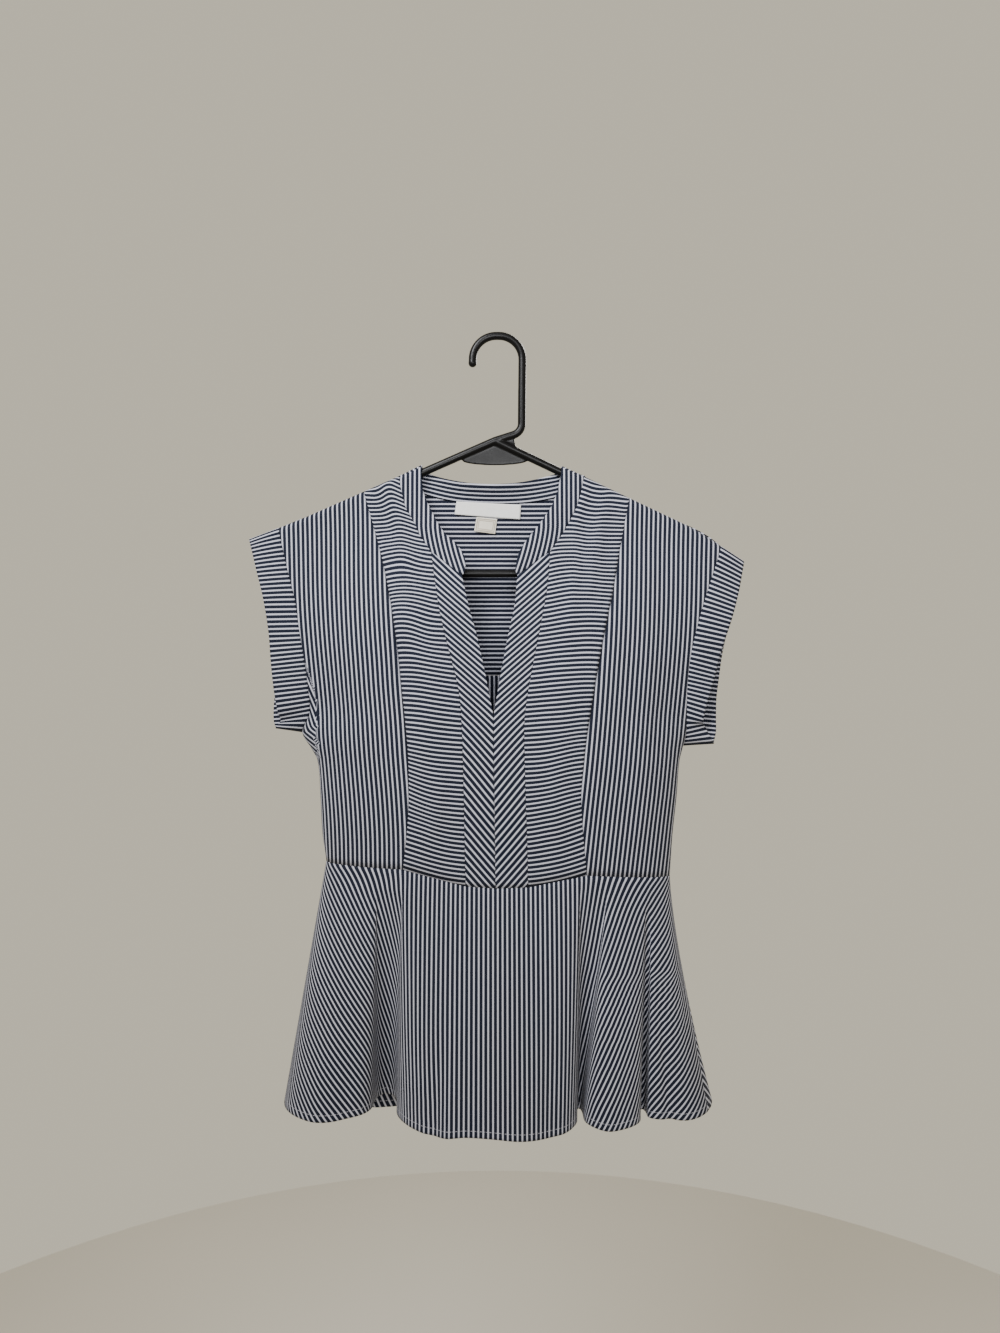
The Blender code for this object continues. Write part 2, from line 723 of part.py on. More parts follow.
def peplum(name, waist, row_at, facing):
    """A circular flare: every column keeps its share of the cloth from the waist to the hem."""
    total = lengths(waist)
    shares = [value / total[-1] for value in total]

    def place(u, v):
        column = round(u * (len(waist) - 1))
        if v == 0:
            x, y, z = waist[column]
            return x, y, z - GAP
        row = row_at(v)
        end = lengths(row)[-1]
        return walk(row, mix(FOLD_LIFT, end - FOLD_LIFT, shares[column]))
    return sheet(name, len(waist) - 1, PEPLUM_ROWS, place, CLOTH, STRIPED_CLOTH, facing)


def peplum_pieces():
    front_line = flute_line(FRONT_FLUTES, 1)
    back_line = flute_line(BACK_FLUTES, 2)
    cache = {}

    def rows(v):
        if v not in cache:
            front = peplum_row(front_line, v, front_point)
            back = peplum_row(back_line, v, back_point)
            cut = lengths(front)[-1] - SIDE_SEAM_FORWARD * v ** 2
            total = lengths(front)
            seam = walk(front, cut)
            kept = [point for point, along in zip(front, total) if along < cut - FOLD_LIFT]
            moved = [point for point, along in zip(front, total) if along > cut + FOLD_LIFT]
            cache[v] = (kept + [seam], back + moved[::-1] + [seam])
        return cache[v]

    peplum("peplum_front", halved(front_waist()), lambda v: rows(v)[0], -1)
    peplum("peplum_back", halved(back_waist()), lambda v: rows(v)[1], 1)


# Labels and hanger

def label(name, corners):
    top_left, top_right, bottom_right, bottom_left = corners

    def place(u, v):
        top, bottom = mix_points(top_left, top_right, u), mix_points(bottom_left, bottom_right, u)
        x, z = mix_points(top, bottom, v)
        return x, back_point(x, z)[1] - CLOTH - LABEL_LIFT, z
    sheet(name, 6, 2, place, LABEL, LABEL_CLOTH, 1)


def solid_mesh(piece):
    """Turns a curve piece into a closed mesh piece of the same name."""
    name = piece.name
    graph = bpy.context.evaluated_depsgraph_get()
    mesh = bpy.data.meshes.new_from_object(piece.evaluated_get(graph))
    bm = bmesh.new()
    bm.from_mesh(mesh)
    bmesh.ops.remove_doubles(bm, verts=bm.verts, dist=0.000001)
    bm.to_mesh(mesh)
    bm.free()
    bpy.data.objects.remove(piece, do_unlink=True)
    piece = bpy.data.objects.new(name, mesh)
    collection.objects.link(piece)
    return piece


def hanger_web():
    """Flat web under the apex, bounded by the arms above and a shallow curve below."""
    curve = bpy.data.curves.new("hanger_web", "CURVE")
    curve.dimensions = "2D"
    curve.fill_mode = "BOTH"
    curve.extrude = WEB_THICKNESS / 2 * MM
    outline = [(-WEB_HALF_WIDTH, arm_z(LEFT, WEB_HALF_WIDTH)), (0, APEX[1]),
               (WEB_HALF_WIDTH, arm_z(RIGHT, WEB_HALF_WIDTH))]
    low = min(outline[0][1], outline[2][1]) - ROD_RADIUS
    outline += [(WEB_HALF_WIDTH * math.cos(turn), low - WEB_SAG * math.sin(turn))
                for turn in (math.pi * step / 8 for step in range(1, 8))]
    spline = curve.splines.new("POLY")
    spline.points.add(len(outline) - 1)
    for point, (x, z) in zip(spline.points, outline):
        point.co = ((APEX[0] + x) * MM, z * MM, 0.0, 1.0)
    spline.use_cyclic_u = True
    piece = bpy.data.objects.new("hanger_web", curve)
    piece.rotation_euler = (math.pi / 2, 0.0, 0.0)
    collection.objects.link(piece)
    bpy.context.view_layer.update()
    turned = piece.matrix_world.copy()
    piece = solid_mesh(piece)
    piece.data.transform(turned)
    return piece


def hanger():
    """Head with the hook and a web, two arms that turn back into the bar, and the bar."""
    half = HOOK_HALF_WIDTH
    hook_path = rounded_path([
        (-half, -HOOK_TIP_DROP, 0), (-half, ROD_RADIUS, HOOK_BEND), (half, ROD_RADIUS, HOOK_BEND),
        (NECK_X, -NECK_DROP, NECK_BEND), (*APEX, 2 * ROD_RADIUS), (APEX[0] - STUB, arm_z(LEFT, STUB), 0)])
    head = solid_mesh(rod("hanger_hook", hook_path))
    stub = solid_mesh(rod("right_stub", [APEX, (APEX[0] + STUB, arm_z(RIGHT, STUB))], STUB_RADIUS))
    for added in (stub, hanger_web()):
        collection.objects.unlink(added)
        cutters.objects.link(added)
        added.hide_render = True
        added.display_type = "WIRE"
        join = head.modifiers.new("join", "BOOLEAN")
        join.operation = "UNION"
        join.object = added
    bar_reach = ARM_HALF_SPAN - ROD_RADIUS - BAR_BEND - 1
    for side in (LEFT, RIGHT):
        far = ARM_HALF_SPAN - ROD_RADIUS
        corners = [(STUB + GAP, arm_z(side, STUB + GAP), 0), (far, arm_z(side, far), ARM_END_BEND),
                   (far, BAR_Z, BAR_BEND), (bar_reach, BAR_Z, 0)]
        rod("hanger_arm_" + side.name,
            rounded_path([(APEX[0] + side.sign * out, z, bend) for out, z, bend in corners]))
    reach = bar_reach - GAP
    rod("hanger_bar", [(APEX[0] - reach, BAR_Z), (APEX[0] + reach, BAR_Z)])


bpy.ops.object.select_all(action="DESELECT")
for old in list(bpy.data.objects):
    bpy.data.objects.remove(old, do_unlink=True)
collection = bpy.data.collections.new("peplum_top_on_hanger")
bpy.context.scene.collection.children.link(collection)
cutters = bpy.data.collections.new("cutters")
bpy.context.scene.collection.children.link(cutters)

for body_side, cuff_table in ((LEFT, CUFF_LEFT), (RIGHT, CUFF_RIGHT)):
    front_side(body_side)
    front_centre(body_side)
    front_band(body_side)
    cuff(body_side, cuff_table)
back_yoke()
back_body()
collar()
peplum_pieces()
label("label_main", MAIN_LABEL)
label("label_size", SIZE_LABEL)
hanger()
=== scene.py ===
import math
from bisect import bisect_left
from collections import namedtuple
from functools import cache

import bmesh
import bpy
from mathutils import Matrix, Vector


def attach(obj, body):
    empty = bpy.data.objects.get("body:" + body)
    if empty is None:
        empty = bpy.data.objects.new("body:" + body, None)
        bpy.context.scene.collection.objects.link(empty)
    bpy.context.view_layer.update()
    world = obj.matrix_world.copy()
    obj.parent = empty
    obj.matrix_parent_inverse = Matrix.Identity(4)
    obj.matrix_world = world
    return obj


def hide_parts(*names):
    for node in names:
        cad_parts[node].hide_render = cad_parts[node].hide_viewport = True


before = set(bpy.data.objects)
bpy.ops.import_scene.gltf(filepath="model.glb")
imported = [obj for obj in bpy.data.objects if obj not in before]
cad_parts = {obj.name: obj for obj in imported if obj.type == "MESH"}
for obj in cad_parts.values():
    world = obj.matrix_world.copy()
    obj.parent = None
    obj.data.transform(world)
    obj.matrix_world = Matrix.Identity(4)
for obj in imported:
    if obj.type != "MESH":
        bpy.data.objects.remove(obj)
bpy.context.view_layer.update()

# The view, the floor and the light. The camera stands level a metre in front of the garment, as
# for a snapshot of clothes on a hanger. Soft lamps stand in for a window on the upper left, for
# the room's own light and for light from behind. Sizes here are in metres.

CAMERA_AT = (0.0025, -1.04, -0.3396)
LENS = 27.007
SENSOR = 36.0
FLOOR_Z = -1.62
FLOOR_RADIUS = 1.5
FLOOR_SIDES = 96
FLOOR_COLOUR = (0.70, 0.67, 0.61)
FLOOR_SHADE = 0.96
FLOOR_CLOUDS = 3.0
AIR_COLOUR = (0.90, 0.83, 0.66)
AIR_STRENGTH = 0.70
LAMP_SPREAD = math.radians(85)
# Columns: name, place, aim, width, watts, colour
LAMPS = (
    ("window", (-0.62, -1.05, 0.75), (0.0, 0.0, 0.1), 0.8, 10.0, (0.97, 0.98, 1.0)),
    ("fill", (0.12, -1.25, -0.08), (0.0, 0.0, -0.12), 0.5, 2.2, (0.97, 0.98, 1.0)),
    ("behind", (0.9, 1.8, 0.8), (0.0, 0.0, -0.4), 1.3, 12.0, (1.0, 0.98, 0.96)),
)


def link_object(name, data):
    made = bpy.data.objects.new(name, data)
    bpy.context.scene.collection.objects.link(made)
    return made


view = bpy.data.cameras.new("view")
view.lens = LENS
view.sensor_width = SENSOR
camera = link_object("view", view)
camera.location = CAMERA_AT
camera.rotation_euler = (math.radians(90), 0.0, 0.0)
bpy.context.scene.camera = camera

for lamp_name, place, aim, width, watts, colour in LAMPS:
    light = bpy.data.lights.new(lamp_name, "AREA")
    light.size = width
    light.spread = LAMP_SPREAD
    light.energy = watts
    light.color = colour
    lamp = link_object(lamp_name, light)
    lamp.location = place
    lamp.rotation_euler = (Vector(aim) - Vector(place)).to_track_quat("-Z", "Y").to_euler()

air = bpy.data.worlds.new("air")
air.use_nodes = True
air.node_tree.nodes["Background"].inputs["Color"].default_value = (*AIR_COLOUR, 1.0)
air.node_tree.nodes["Background"].inputs["Strength"].default_value = AIR_STRENGTH
bpy.context.scene.world = air


class Paint:
    """A material in the making. Its methods add shader nodes and return their outputs."""

    def __init__(self, name, values):
        self.material = bpy.data.materials.new(name)
        self.material.use_nodes = True
        self.tree = self.material.node_tree
        self.shader = self.tree.nodes["Principled BSDF"]
        self.fill(self.shader, values.items())

    def fill(self, node, inputs):
        """Sets a node's inputs, given as pairs of socket and a value or another's output."""
        for socket, value in inputs:
            if isinstance(value, bpy.types.NodeSocket):
                self.tree.links.new(value, node.inputs[socket])
            else:
                node.inputs[socket].default_value = value

    def add(self, kind, inputs=(), **settings):
        made = self.tree.nodes.new("ShaderNode" + kind)
        for setting, value in settings.items():
            setattr(made, setting, value)
        self.fill(made, inputs)
        return made.outputs

    def maths(self, operation, *values):
        return self.add("Math", enumerate(values), operation=operation)[0]

    def noise(self, place, scale, detail=2.0):
        return self.add("TexNoise", (("Vector", place), ("Scale", scale), ("Detail", detail)))[0]

    def ramp(self, value, start, end, top=1.0, kind="LINEAR"):
        """Goes from 0 to top while the value goes from start to end."""
        inputs = (0, value), (1, start), (2, end), (4, top)
        return self.add("MapRange", inputs, interpolation_type=kind)[0]

    def blend(self, share, *colours):
        """The colour between two, by a share."""
        first, second = (colour if isinstance(colour, bpy.types.NodeSocket) else (*colour, 1.0)
                         for colour in colours)
        return self.add("Mix", ((0, share), (6, first), (7, second)), data_type="RGBA")[2]

    def finish(self, tone, height, strength, depth):
        """Gives the shader its colour and a bump. Returns the material."""
        bump = self.add("Bump", (("Height", height), ("Strength", strength), ("Distance", depth)))
        self.fill(self.shader, (("Base Color", tone), ("Normal", bump[0])))
        return self.material


def floor_paint():
    paint = Paint("pale_floor", {"Roughness": 0.9})
    clouds = paint.noise(paint.add("TexCoord")["Object"], FLOOR_CLOUDS)
    shade = tuple(FLOOR_SHADE * value for value in FLOOR_COLOUR)
    paint.fill(paint.shader, (("Base Color", paint.blend(clouds, shade, FLOOR_COLOUR)),))
    return paint.material


floor_mesh = bpy.data.meshes.new("floor")
bm = bmesh.new()
bmesh.ops.create_circle(bm, cap_ends=True, segments=FLOOR_SIDES, radius=FLOOR_RADIUS)
bmesh.ops.translate(bm, verts=bm.verts, vec=(0.0, 0.0, FLOOR_Z))
bm.to_mesh(floor_mesh)
bm.free()
floor_mesh.materials.append(floor_paint())
link_object("floor", floor_mesh)


# The hanger: one moulding in black plastic. A round rod runs from the hook's tip down the neck,
# along the left arm, back as the bar and up the right arm; a thin web and a gusset stiffen the
# joint. The cloth rests on its arms. From here on, sizes are in mm.

MM = 0.001
ROD_RADIUS = 4.2
HOOK_HALF_WIDTH = 26.0
HOOK_BEND = 24.5
HOOK_TIP_DROP = 24.0
TIP_RADIUS = 4.5
NECK_X = 25.0
NECK_DROP = 96.0
NECK_BEND = 12.0
APEX = (-3.0, -105.0)
ARM_SLOPE = {-1: 0.44, 1: 0.475}
ARM_HALF_SPAN = 209.0
ARM_END_BEND = 20.0
BAR_Z = -243.0
BAR_BEND = 22.0
BEND_STEP = math.radians(6)
WEB_HALF_WIDTH = 34.0
WEB_SAG = 5.0
WEB_STEPS = 16
WEB_THICKNESS = 2.6
GUSSET_THICKNESS = 1.4 * WEB_THICKNESS
GUSSET = ((6, -101), (16, -97.5), (19.5, -114), (8, -108))
ROD_SIDES = 24
MOULDING_VOXEL = 0.85
BLACK = (0.001, 0.001, 0.0015)
RUBBED = (0.004, 0.004, 0.005)
RUBBED_SHARE = 0.55
ROUGHNESS = (0.2, 0.42)
PATCH_NOISE = 60.0
GRAIN_NOISE = 1400.0
GRAIN_BUMP = 0.12
BUMP_DEPTH = 0.2


def clamp(value):
    return min(1.0, max(0.0, value))


def mix(start, end, share):
    return start + (end - start) * share


def mix_points(start, end, share):
    return tuple(mix(a, b, share) for a, b in zip(start, end))


def arm_z(out):
    """Height of the arms' centre line at x measured from the apex."""
    return APEX[1] - ARM_SLOPE[-1 if out < 0 else 1] * abs(out)


def rounded_path(corners):
    """Points along straight runs with arcs at the corners. Each corner is x, z, bend radius."""
    path = []
    for index, (x, z, radius) in enumerate(corners):
        if index in (0, len(corners) - 1) or radius == 0:
            path.append((x, z))
            continue
        before = corners[index - 1]
        after = corners[index + 1]
        angle_in = math.atan2(z - before[1], x - before[0])
        angle_out = math.atan2(after[1] - z, after[0] - x)
        turn = (angle_out - angle_in + math.pi) % (2 * math.pi) - math.pi
        cut = radius * math.tan(abs(turn) / 2)
        side = 1 if turn > 0 else -1
        start = (x - cut * math.cos(angle_in), z - cut * math.sin(angle_in))
        centre = (start[0] - side * radius * math.sin(angle_in),
                  start[1] + side * radius * math.cos(angle_in))
        steps = max(2, math.ceil(abs(turn) / BEND_STEP))
        for step in range(steps + 1):
            angle = angle_in + turn * step / steps
            path.append((centre[0] + side * radius * math.sin(angle),
                         centre[1] - side * radius * math.cos(angle)))
    return path


def add_rod(bm, path):
    """Extrudes a circle along a path of (x, z), station by station."""
    def station(index):
        before, after = path[max(index - 1, 0)], path[min(index + 1, len(path) - 1)]
        heading = math.atan2(after[1] - before[1], after[0] - before[0])
        place = Matrix.Translation((path[index][0], 0.0, path[index][1]))
        return place @ Matrix.Rotation(math.pi / 2 - heading, 4, "Y")

    made = bmesh.ops.create_circle(bm, cap_ends=True, segments=ROD_SIDES, radius=ROD_RADIUS,
                                   matrix=station(0))
    ring = list({edge for vert in made["verts"] for edge in vert.link_edges})
    for index in range(1, len(path)):
        grown = bmesh.ops.extrude_edge_only(bm, edges=ring)["geom"]
        verts = [item for item in grown if isinstance(item, bmesh.types.BMVert)]
        ring = [item for item in grown if isinstance(item, bmesh.types.BMEdge)
                and all(vert in verts for vert in item.verts)]
        bmesh.ops.transform(bm, matrix=station(index) @ station(index - 1).inverted(), verts=verts)
    bmesh.ops.edgeloop_fill(bm, edges=ring)


def add_plate(bm, outline, thickness):
    """A flat plate in the rod's middle plane, from an outline of (x, z)."""
    verts = [bm.verts.new((x, -thickness / 2, z)) for x, z in outline]
    face = bm.faces.new(verts)
    grown = bmesh.ops.extrude_face_region(bm, geom=[face])["geom"]
    far = [item for item in grown if isinstance(item, bmesh.types.BMVert)]
    bmesh.ops.translate(bm, verts=far, vec=(0.0, thickness, 0.0))


def black_plastic():
    """Satin black moulding, rubbed a little paler in patches, with a faint grain."""
    paint = Paint("black_plastic", {"Specular IOR Level": 0.2})
    place = paint.add("TexCoord")["Object"]
    patches = paint.noise(place, PATCH_NOISE, 4.0)
    tone = paint.blend(paint.maths("MULTIPLY", patches, RUBBED_SHARE), BLACK, RUBBED)
    low, high = ROUGHNESS
    shine = paint.maths("MULTIPLY_ADD", patches, high - low, low)
    paint.fill(paint.shader, (("Roughness", shine),))
    return paint.finish(tone, paint.noise(place, GRAIN_NOISE), GRAIN_BUMP, BUMP_DEPTH * MM)


def hanger():
    reach = ARM_HALF_SPAN - ROD_RADIUS
    left, right = APEX[0] - reach, APEX[0] + reach
    half = HOOK_HALF_WIDTH
    path = rounded_path([
        (-half, -HOOK_TIP_DROP, 0), (-half, ROD_RADIUS, HOOK_BEND), (half, ROD_RADIUS, HOOK_BEND),
        (NECK_X, -NECK_DROP, NECK_BEND), (*APEX, 3 * ROD_RADIUS), (left, arm_z(-reach), ARM_END_BEND),
        (left, BAR_Z, BAR_BEND), (right, BAR_Z, BAR_BEND), (right, arm_z(reach), ARM_END_BEND),
        (*APEX, 0)])
    rim = min(arm_z(-WEB_HALF_WIDTH), arm_z(WEB_HALF_WIDTH)) - ROD_RADIUS
    web = [(APEX[0] - WEB_HALF_WIDTH, arm_z(-WEB_HALF_WIDTH)), APEX,
           (APEX[0] + WEB_HALF_WIDTH, arm_z(WEB_HALF_WIDTH))]
    web += [(APEX[0] + WEB_HALF_WIDTH * math.cos(turn), rim - WEB_SAG * math.sin(turn))
            for turn in (math.pi * step / WEB_STEPS for step in range(1, WEB_STEPS))]

    mesh = bpy.data.meshes.new("hanger")
    bm = bmesh.new()
    add_rod(bm, path)
    add_plate(bm, web, WEB_THICKNESS)
    add_plate(bm, GUSSET, GUSSET_THICKNESS)
    tip = Matrix.Translation((-half, 0.0, -HOOK_TIP_DROP))
    bmesh.ops.create_uvsphere(bm, u_segments=24, v_segments=16, radius=TIP_RADIUS, matrix=tip)
    bmesh.ops.recalc_face_normals(bm, faces=bm.faces)
    bmesh.ops.scale(bm, vec=(MM, MM, MM), verts=bm.verts)
    bm.to_mesh(mesh)
    bm.free()
    rough = link_object("hanger", mesh)
    fuse = rough.modifiers.new("fuse", "REMESH")
    fuse.mode = "VOXEL"
    fuse.voxel_size = MOULDING_VOXEL * MM
    fuse.use_smooth_shade = True
    soften = rough.modifiers.new("soften", "SMOOTH")
    soften.iterations = 5
    graph = bpy.context.evaluated_depsgraph_get()
    fused = bpy.data.meshes.new_from_object(rough.evaluated_get(graph))
    bpy.data.objects.remove(rough, do_unlink=True)
    fused.materials.clear()
    fused.materials.append(black_plastic())
    piece = link_object("hanger", fused)
    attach(piece, "root")
    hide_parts("hanger_hook", "hanger_arm_left", "hanger_arm_right", "hanger_bar")


hanger()


# The striped cotton that every panel is cut from: navy and white stripes, woven with a fine cross
# rib that frays the stripes' edges into small dots. The UV map "cut" is the flat cloth in metres,
# across the stripes and along them; "hem" is the distance along a stitched edge and from it.

STRIPE_REPEAT = 4.75
NAVY_SHARE = 0.68
STRIPE_SOFT = 0.3
RIB_REPEAT = 1.05
RIB_FRAY = 0.16
THREAD_NOISE = 0.792
SLUB_NOISE = 55.0
NAVY = (0.004, 0.006, 0.014)
NAVY_FLECK = (0.018, 0.022, 0.042)
WHITE = (0.53, 0.54, 0.63)
WHITE_SHADE = (0.41, 0.42, 0.50)
STITCH_IN = 6.2
STITCH_WIDTH = 0.45
STITCH_REPEAT = 3.0
STITCH_PAUSE = 0.3
STITCH_COLOUR = (0.5, 0.5, 0.58)
STITCH_STRENGTH = 0.7
# Heights of the weave and the stitches, as shares of a white stripe's height over a navy one
RIB_HEIGHT = 0.5
THREAD_HEIGHT = 0.6
STITCH_LINE_HEIGHT = -1.5
STITCH_HEIGHT = 2.0
WEAVE_BUMP = 0.5
COTTON_FINISH = {
    "Roughness": 0.84, "Sheen Weight": 0.05, "Sheen Roughness": 0.45,
    "Sheen Tint": (0.88, 0.90, 1.0, 1.0), "Specular IOR Level": 0.12,
}


def striped_cotton(name, hemmed=False):
    paint = Paint(name, COTTON_FINISH)
    maths = paint.maths
    cut = paint.add("UVMap", uv_map="cut")[0]
    across, along = paint.add("SeparateXYZ", ((0, cut),))[:2]
    ribs = maths("SINE", maths("MULTIPLY", along, math.tau / (RIB_REPEAT * MM)))
    threads = paint.noise(cut, 1 / (THREAD_NOISE * MM))
    slubs = paint.noise(cut, SLUB_NOISE, 3.0)

    frayed = maths("MULTIPLY_ADD", ribs, RIB_FRAY * MM, across)
    frayed = maths("MULTIPLY_ADD", threads, 2 * RIB_FRAY * MM, frayed)
    wave = maths("PINGPONG", frayed, STRIPE_REPEAT / 2 * MM)
    middle = STRIPE_REPEAT / 2 * NAVY_SHARE
    white_share = paint.ramp(wave, (middle - STRIPE_SOFT) * MM, (middle + STRIPE_SOFT) * MM,
                             kind="SMOOTHSTEP")
    rib_share = maths("MULTIPLY_ADD", ribs, 0.5, 0.5)
    navy = paint.blend(maths("MULTIPLY", rib_share, threads), NAVY, NAVY_FLECK)
    white = paint.blend(maths("MULTIPLY", rib_share, slubs), WHITE, WHITE_SHADE)
    tone = paint.blend(white_share, navy, white)
    height = maths("MULTIPLY_ADD", rib_share, RIB_HEIGHT, white_share)
    height = maths("MULTIPLY_ADD", threads, THREAD_HEIGHT, height)

    if hemmed:
        edge = paint.add("UVMap", uv_map="hem")[0]
        beside, inward = paint.add("SeparateXYZ", ((0, edge),))[:2]
        away = maths("ABSOLUTE", maths("SUBTRACT", inward, STITCH_IN * MM))
        near = paint.ramp(away, STITCH_WIDTH * MM, 0.0)
        beat = maths("PINGPONG", beside, STITCH_REPEAT / 2 * MM)
        dash = maths("GREATER_THAN", beat, STITCH_PAUSE * STITCH_REPEAT / 2 * MM)
        stitch = maths("MULTIPLY", near, dash)
        tone = paint.blend(maths("MULTIPLY", stitch, STITCH_STRENGTH), tone, STITCH_COLOUR)
        height = maths("MULTIPLY_ADD", near, STITCH_LINE_HEIGHT, height)
        height = maths("MULTIPLY_ADD", stitch, STITCH_HEIGHT, height)
    return paint.finish(tone, height, WEAVE_BUMP, BUMP_DEPTH * MM)


COTTON = striped_cotton("striped_cotton")
HEMMED_COTTON = striped_cotton("striped_cotton_hemmed", hemmed=True)


# The side fronts, left and right: one layer of cotton cut with the stripes down the body, sewn to
# the centre front, the cuff, the back and the peplum. Each hangs from the hanger's arm in an arch
# that opens out below it. These outlines also shape the other panels.

Side = namedtuple("Side", "name sign column droop underarm")
LEFT = Side("left", -1, 1, -0.0010, -408.0)
RIGHT = Side("right", 1, 2, 0.0024, -422.0)
OVER_ROD = 6.4
RISE = 7.1
DROOP_FROM = 190.0
SHOULDER_REACH = 228.0
OPENS_OVER = 170.0
ROUND_SHARE = 0.6
EDGE_LIFT = 0.12
ONE_LAYER = 0.7
TWO_LAYERS = 1.5
SEAM_GAP = 0.1
ARMHOLE_HALF_DEPTH = 16.0
ARMHOLE_FULLNESS = 0.6
SIDE_CLOSES_ABOVE = 40.0
SIDE_CLOSES_OVER = 60.0

# Columns: z, left x, right x
BODY_EDGE = (
    (-190, -228, 240), (-214, -223, 232), (-240, -217, 224), (-270, -209, 214),
    (-300, -204, 205), (-330, -199, 198), (-360, -195, 195), (-388, -194, 195),
    (-408, -203, 195), (-422, -195, 193), (-437, -187, 189), (-475, -184, 186),
    (-512, -182, 182), (-541, -178, 180), (-556, -177, 179),
)
PRINCESS_SEAM = (
    (-157, -139, 138), (-220, -121, 126), (-262, -111, 118), (-306, -103, 108),
    (-365, -96, 97), (-424, -90, 88), (-471, -89, 84), (-506, -91, 86), (-550, -96, 90),
)
# Columns: x, z
WAIST = (
    (-178, -541), (-96, -544), (-32, -561), (-2, -563), (31, -562), (90, -550), (179, -556),
)
# Columns: z, front half depth, back half depth
SECTIONS = (
    (-100, 8, 8), (-160, 13, 11), (-200, 22, 15), (-260, 32, 19), (-320, 38, 22),
    (-390, 41, 24), (-450, 40, 24), (-510, 37, 22), (-565, 34, 22),
)
# Soft folds and drag lines. Columns: top x, top z, bottom x, bottom z, width, height
FRONT_FOLDS = (
    (-111, -146, -84, -270, 8, 2.6), (-120, -150, -104, -250, 6, -1.6),
    (113, -150, 90, -280, 8, 2.4), (-70, -300, -64, -555, 15, 2.0),
    (66, -290, 60, -555, 14, 2.2), (-150, -200, -140, -520, 16, 2.2),
    (160, -215, 146, -530, 15, 2.6),
    (-98, -142, -72, -205, 4, 1.3), (96, -142, 74, -215, 5, 1.5), (84, -180, 70, -330, 6, 1.6),
    (-190, -185, -176, -330, 9, 1.4), (-172, -178, -160, -260, 6, -1.0),
    (196, -200, 182, -340, 9, 1.6), (182, -190, 170, -270, 6, -1.0),
    (-178, -330, -150, -420, 8, -1.4), (-184, -420, -140, -520, 9, 1.2),
    (180, -350, 150, -440, 8, -1.5), (178, -440, 130, -535, 9, 1.3),
    (-118, -440, -112, -545, 6, -1.0), (112, -450, 104, -550, 6, -1.0),
    (-50, -420, -70, -540, 7, 1.1), (48, -430, 66, -545, 7, 1.0),
)
BACK_FOLDS = (
    (-7, -330, -6, -560, 6, -5.0), (-13, -330, -22, -560, 6, 2.0), (0, -330, 12, -560, 6, 2.0),
    (-110, -190, -90, -545, 18, 2.5), (105, -190, 90, -550, 18, 2.5),
    (-170, -210, -140, -360, 10, 1.5), (168, -220, 142, -370, 10, 1.5),
    (-60, -360, -66, -550, 9, 1.4), (52, -370, 58, -550, 8, 1.3), (-140, -380, -128, -545, 9, -1.2),
    (142, -390, 126, -548, 9, -1.2), (20, -190, 34, -330, 12, 1.2), (-48, -200, -40, -320, 10, -1.0),
)
# Where the stripes' direction runs down the side fronts. Columns: z, left x, right x
SIDE_GRAIN = (
    (-150, -178, 174), (-240, -175, 171), (-330, -168, 165), (-420, -161.5, 158), (-500, -156.5, 150),
    (-560, -156, 144),
)
# How much of the depth counts in the distance across the stripes, as the cloth lies loosely
LOOSE = 0.5
# A tuck under the left arm. Columns: z, x of its edge
TUCK = ((-333, -199.5), (-364, -188), (-395, -185), (-440, -185))
TUCK_TURNS_AT = -402.0
# Lean in degrees and the height it is measured from, above and below the turn
TUCK_LEANS = ((20.0, -395.0), (57.0, -386.0))
# The side front rolls in under the centre front here: z of the start and end, depth, widths
ROLL_FROM = -195.0
ROLL_TO = -470.0
ROLL_DEPTH = 2.8
ROLL_WIDTH = 6.5
ROLLED_EDGE = 1.2
SEAM_DIP = 0.6
SEAM_WIDTH = 1.2
FAR_FROM_SEAM = 9 * SEAM_WIDTH

ROWS = 18
ARMHOLE_ROWS = 14
FINER_DOWN = 5
SIDE_COLUMNS = 52
# Share of even spacing that the columns keep, and share of it all that is alike at both seams; the
# rest brings them closer together at the outer one
SIDE_EVEN = 0.3
BOTH_SEAMS = 0.6
# The rows follow the shoulder line at the top and fade to straight ones at this pace
SHOULDER_FADE = 2.5
# From this slope on, a fold's depth counts more and more in full, up to the slope one steeper
STEEP = 1.0
NEAR_ZERO = 0.001


def smooth_step(value):
    share = clamp(value)
    return share * share * (3 - 2 * share)


def read(rows, at, column, straight=False):
    """A curve through a table's rows, read where their first column has the value at."""
    rows = rows if rows[0][0] < rows[-1][0] else rows[::-1]
    low = 0
    while low < len(rows) - 2 and rows[low + 1][0] < at:
        low += 1
    x0, x1 = rows[low][0], rows[low + 1][0]
    y0, y1 = rows[low][column], rows[low + 1][column]
    share = clamp((at - x0) / (x1 - x0))
    if straight:
        return mix(y0, y1, share)
    span = x1 - x0
    slopes = []
    for index in (low, low + 1):
        before = rows[max(index - 1, 0)]
        after = rows[min(index + 1, len(rows) - 1)]
        slopes.append((after[column] - before[column]) / (after[0] - before[0]) * span)
    square, cube = share ** 2, share ** 3
    return ((2 * cube - 3 * square + 1) * y0 + (cube - 2 * square + share) * slopes[0]
            + (3 * square - 2 * cube) * y1 + (cube - square) * slopes[1])


def lengths(points, measure=math.dist):
    """Running lengths of a line of points."""
    total = [0.0]
    for start, end in zip(points, points[1:]):
        total.append(total[-1] + measure(start, end))
    return total


def side_of(x):
    return LEFT if x < APEX[0] else RIGHT


def shoulder_z(x):
    """Height of the shoulder line, which lies on the hanger's arm and droops past its end."""
    out = abs(x - APEX[0])
    return arm_z(x - APEX[0]) + RISE - side_of(x).droop * max(0.0, out - DROOP_FROM) ** 2


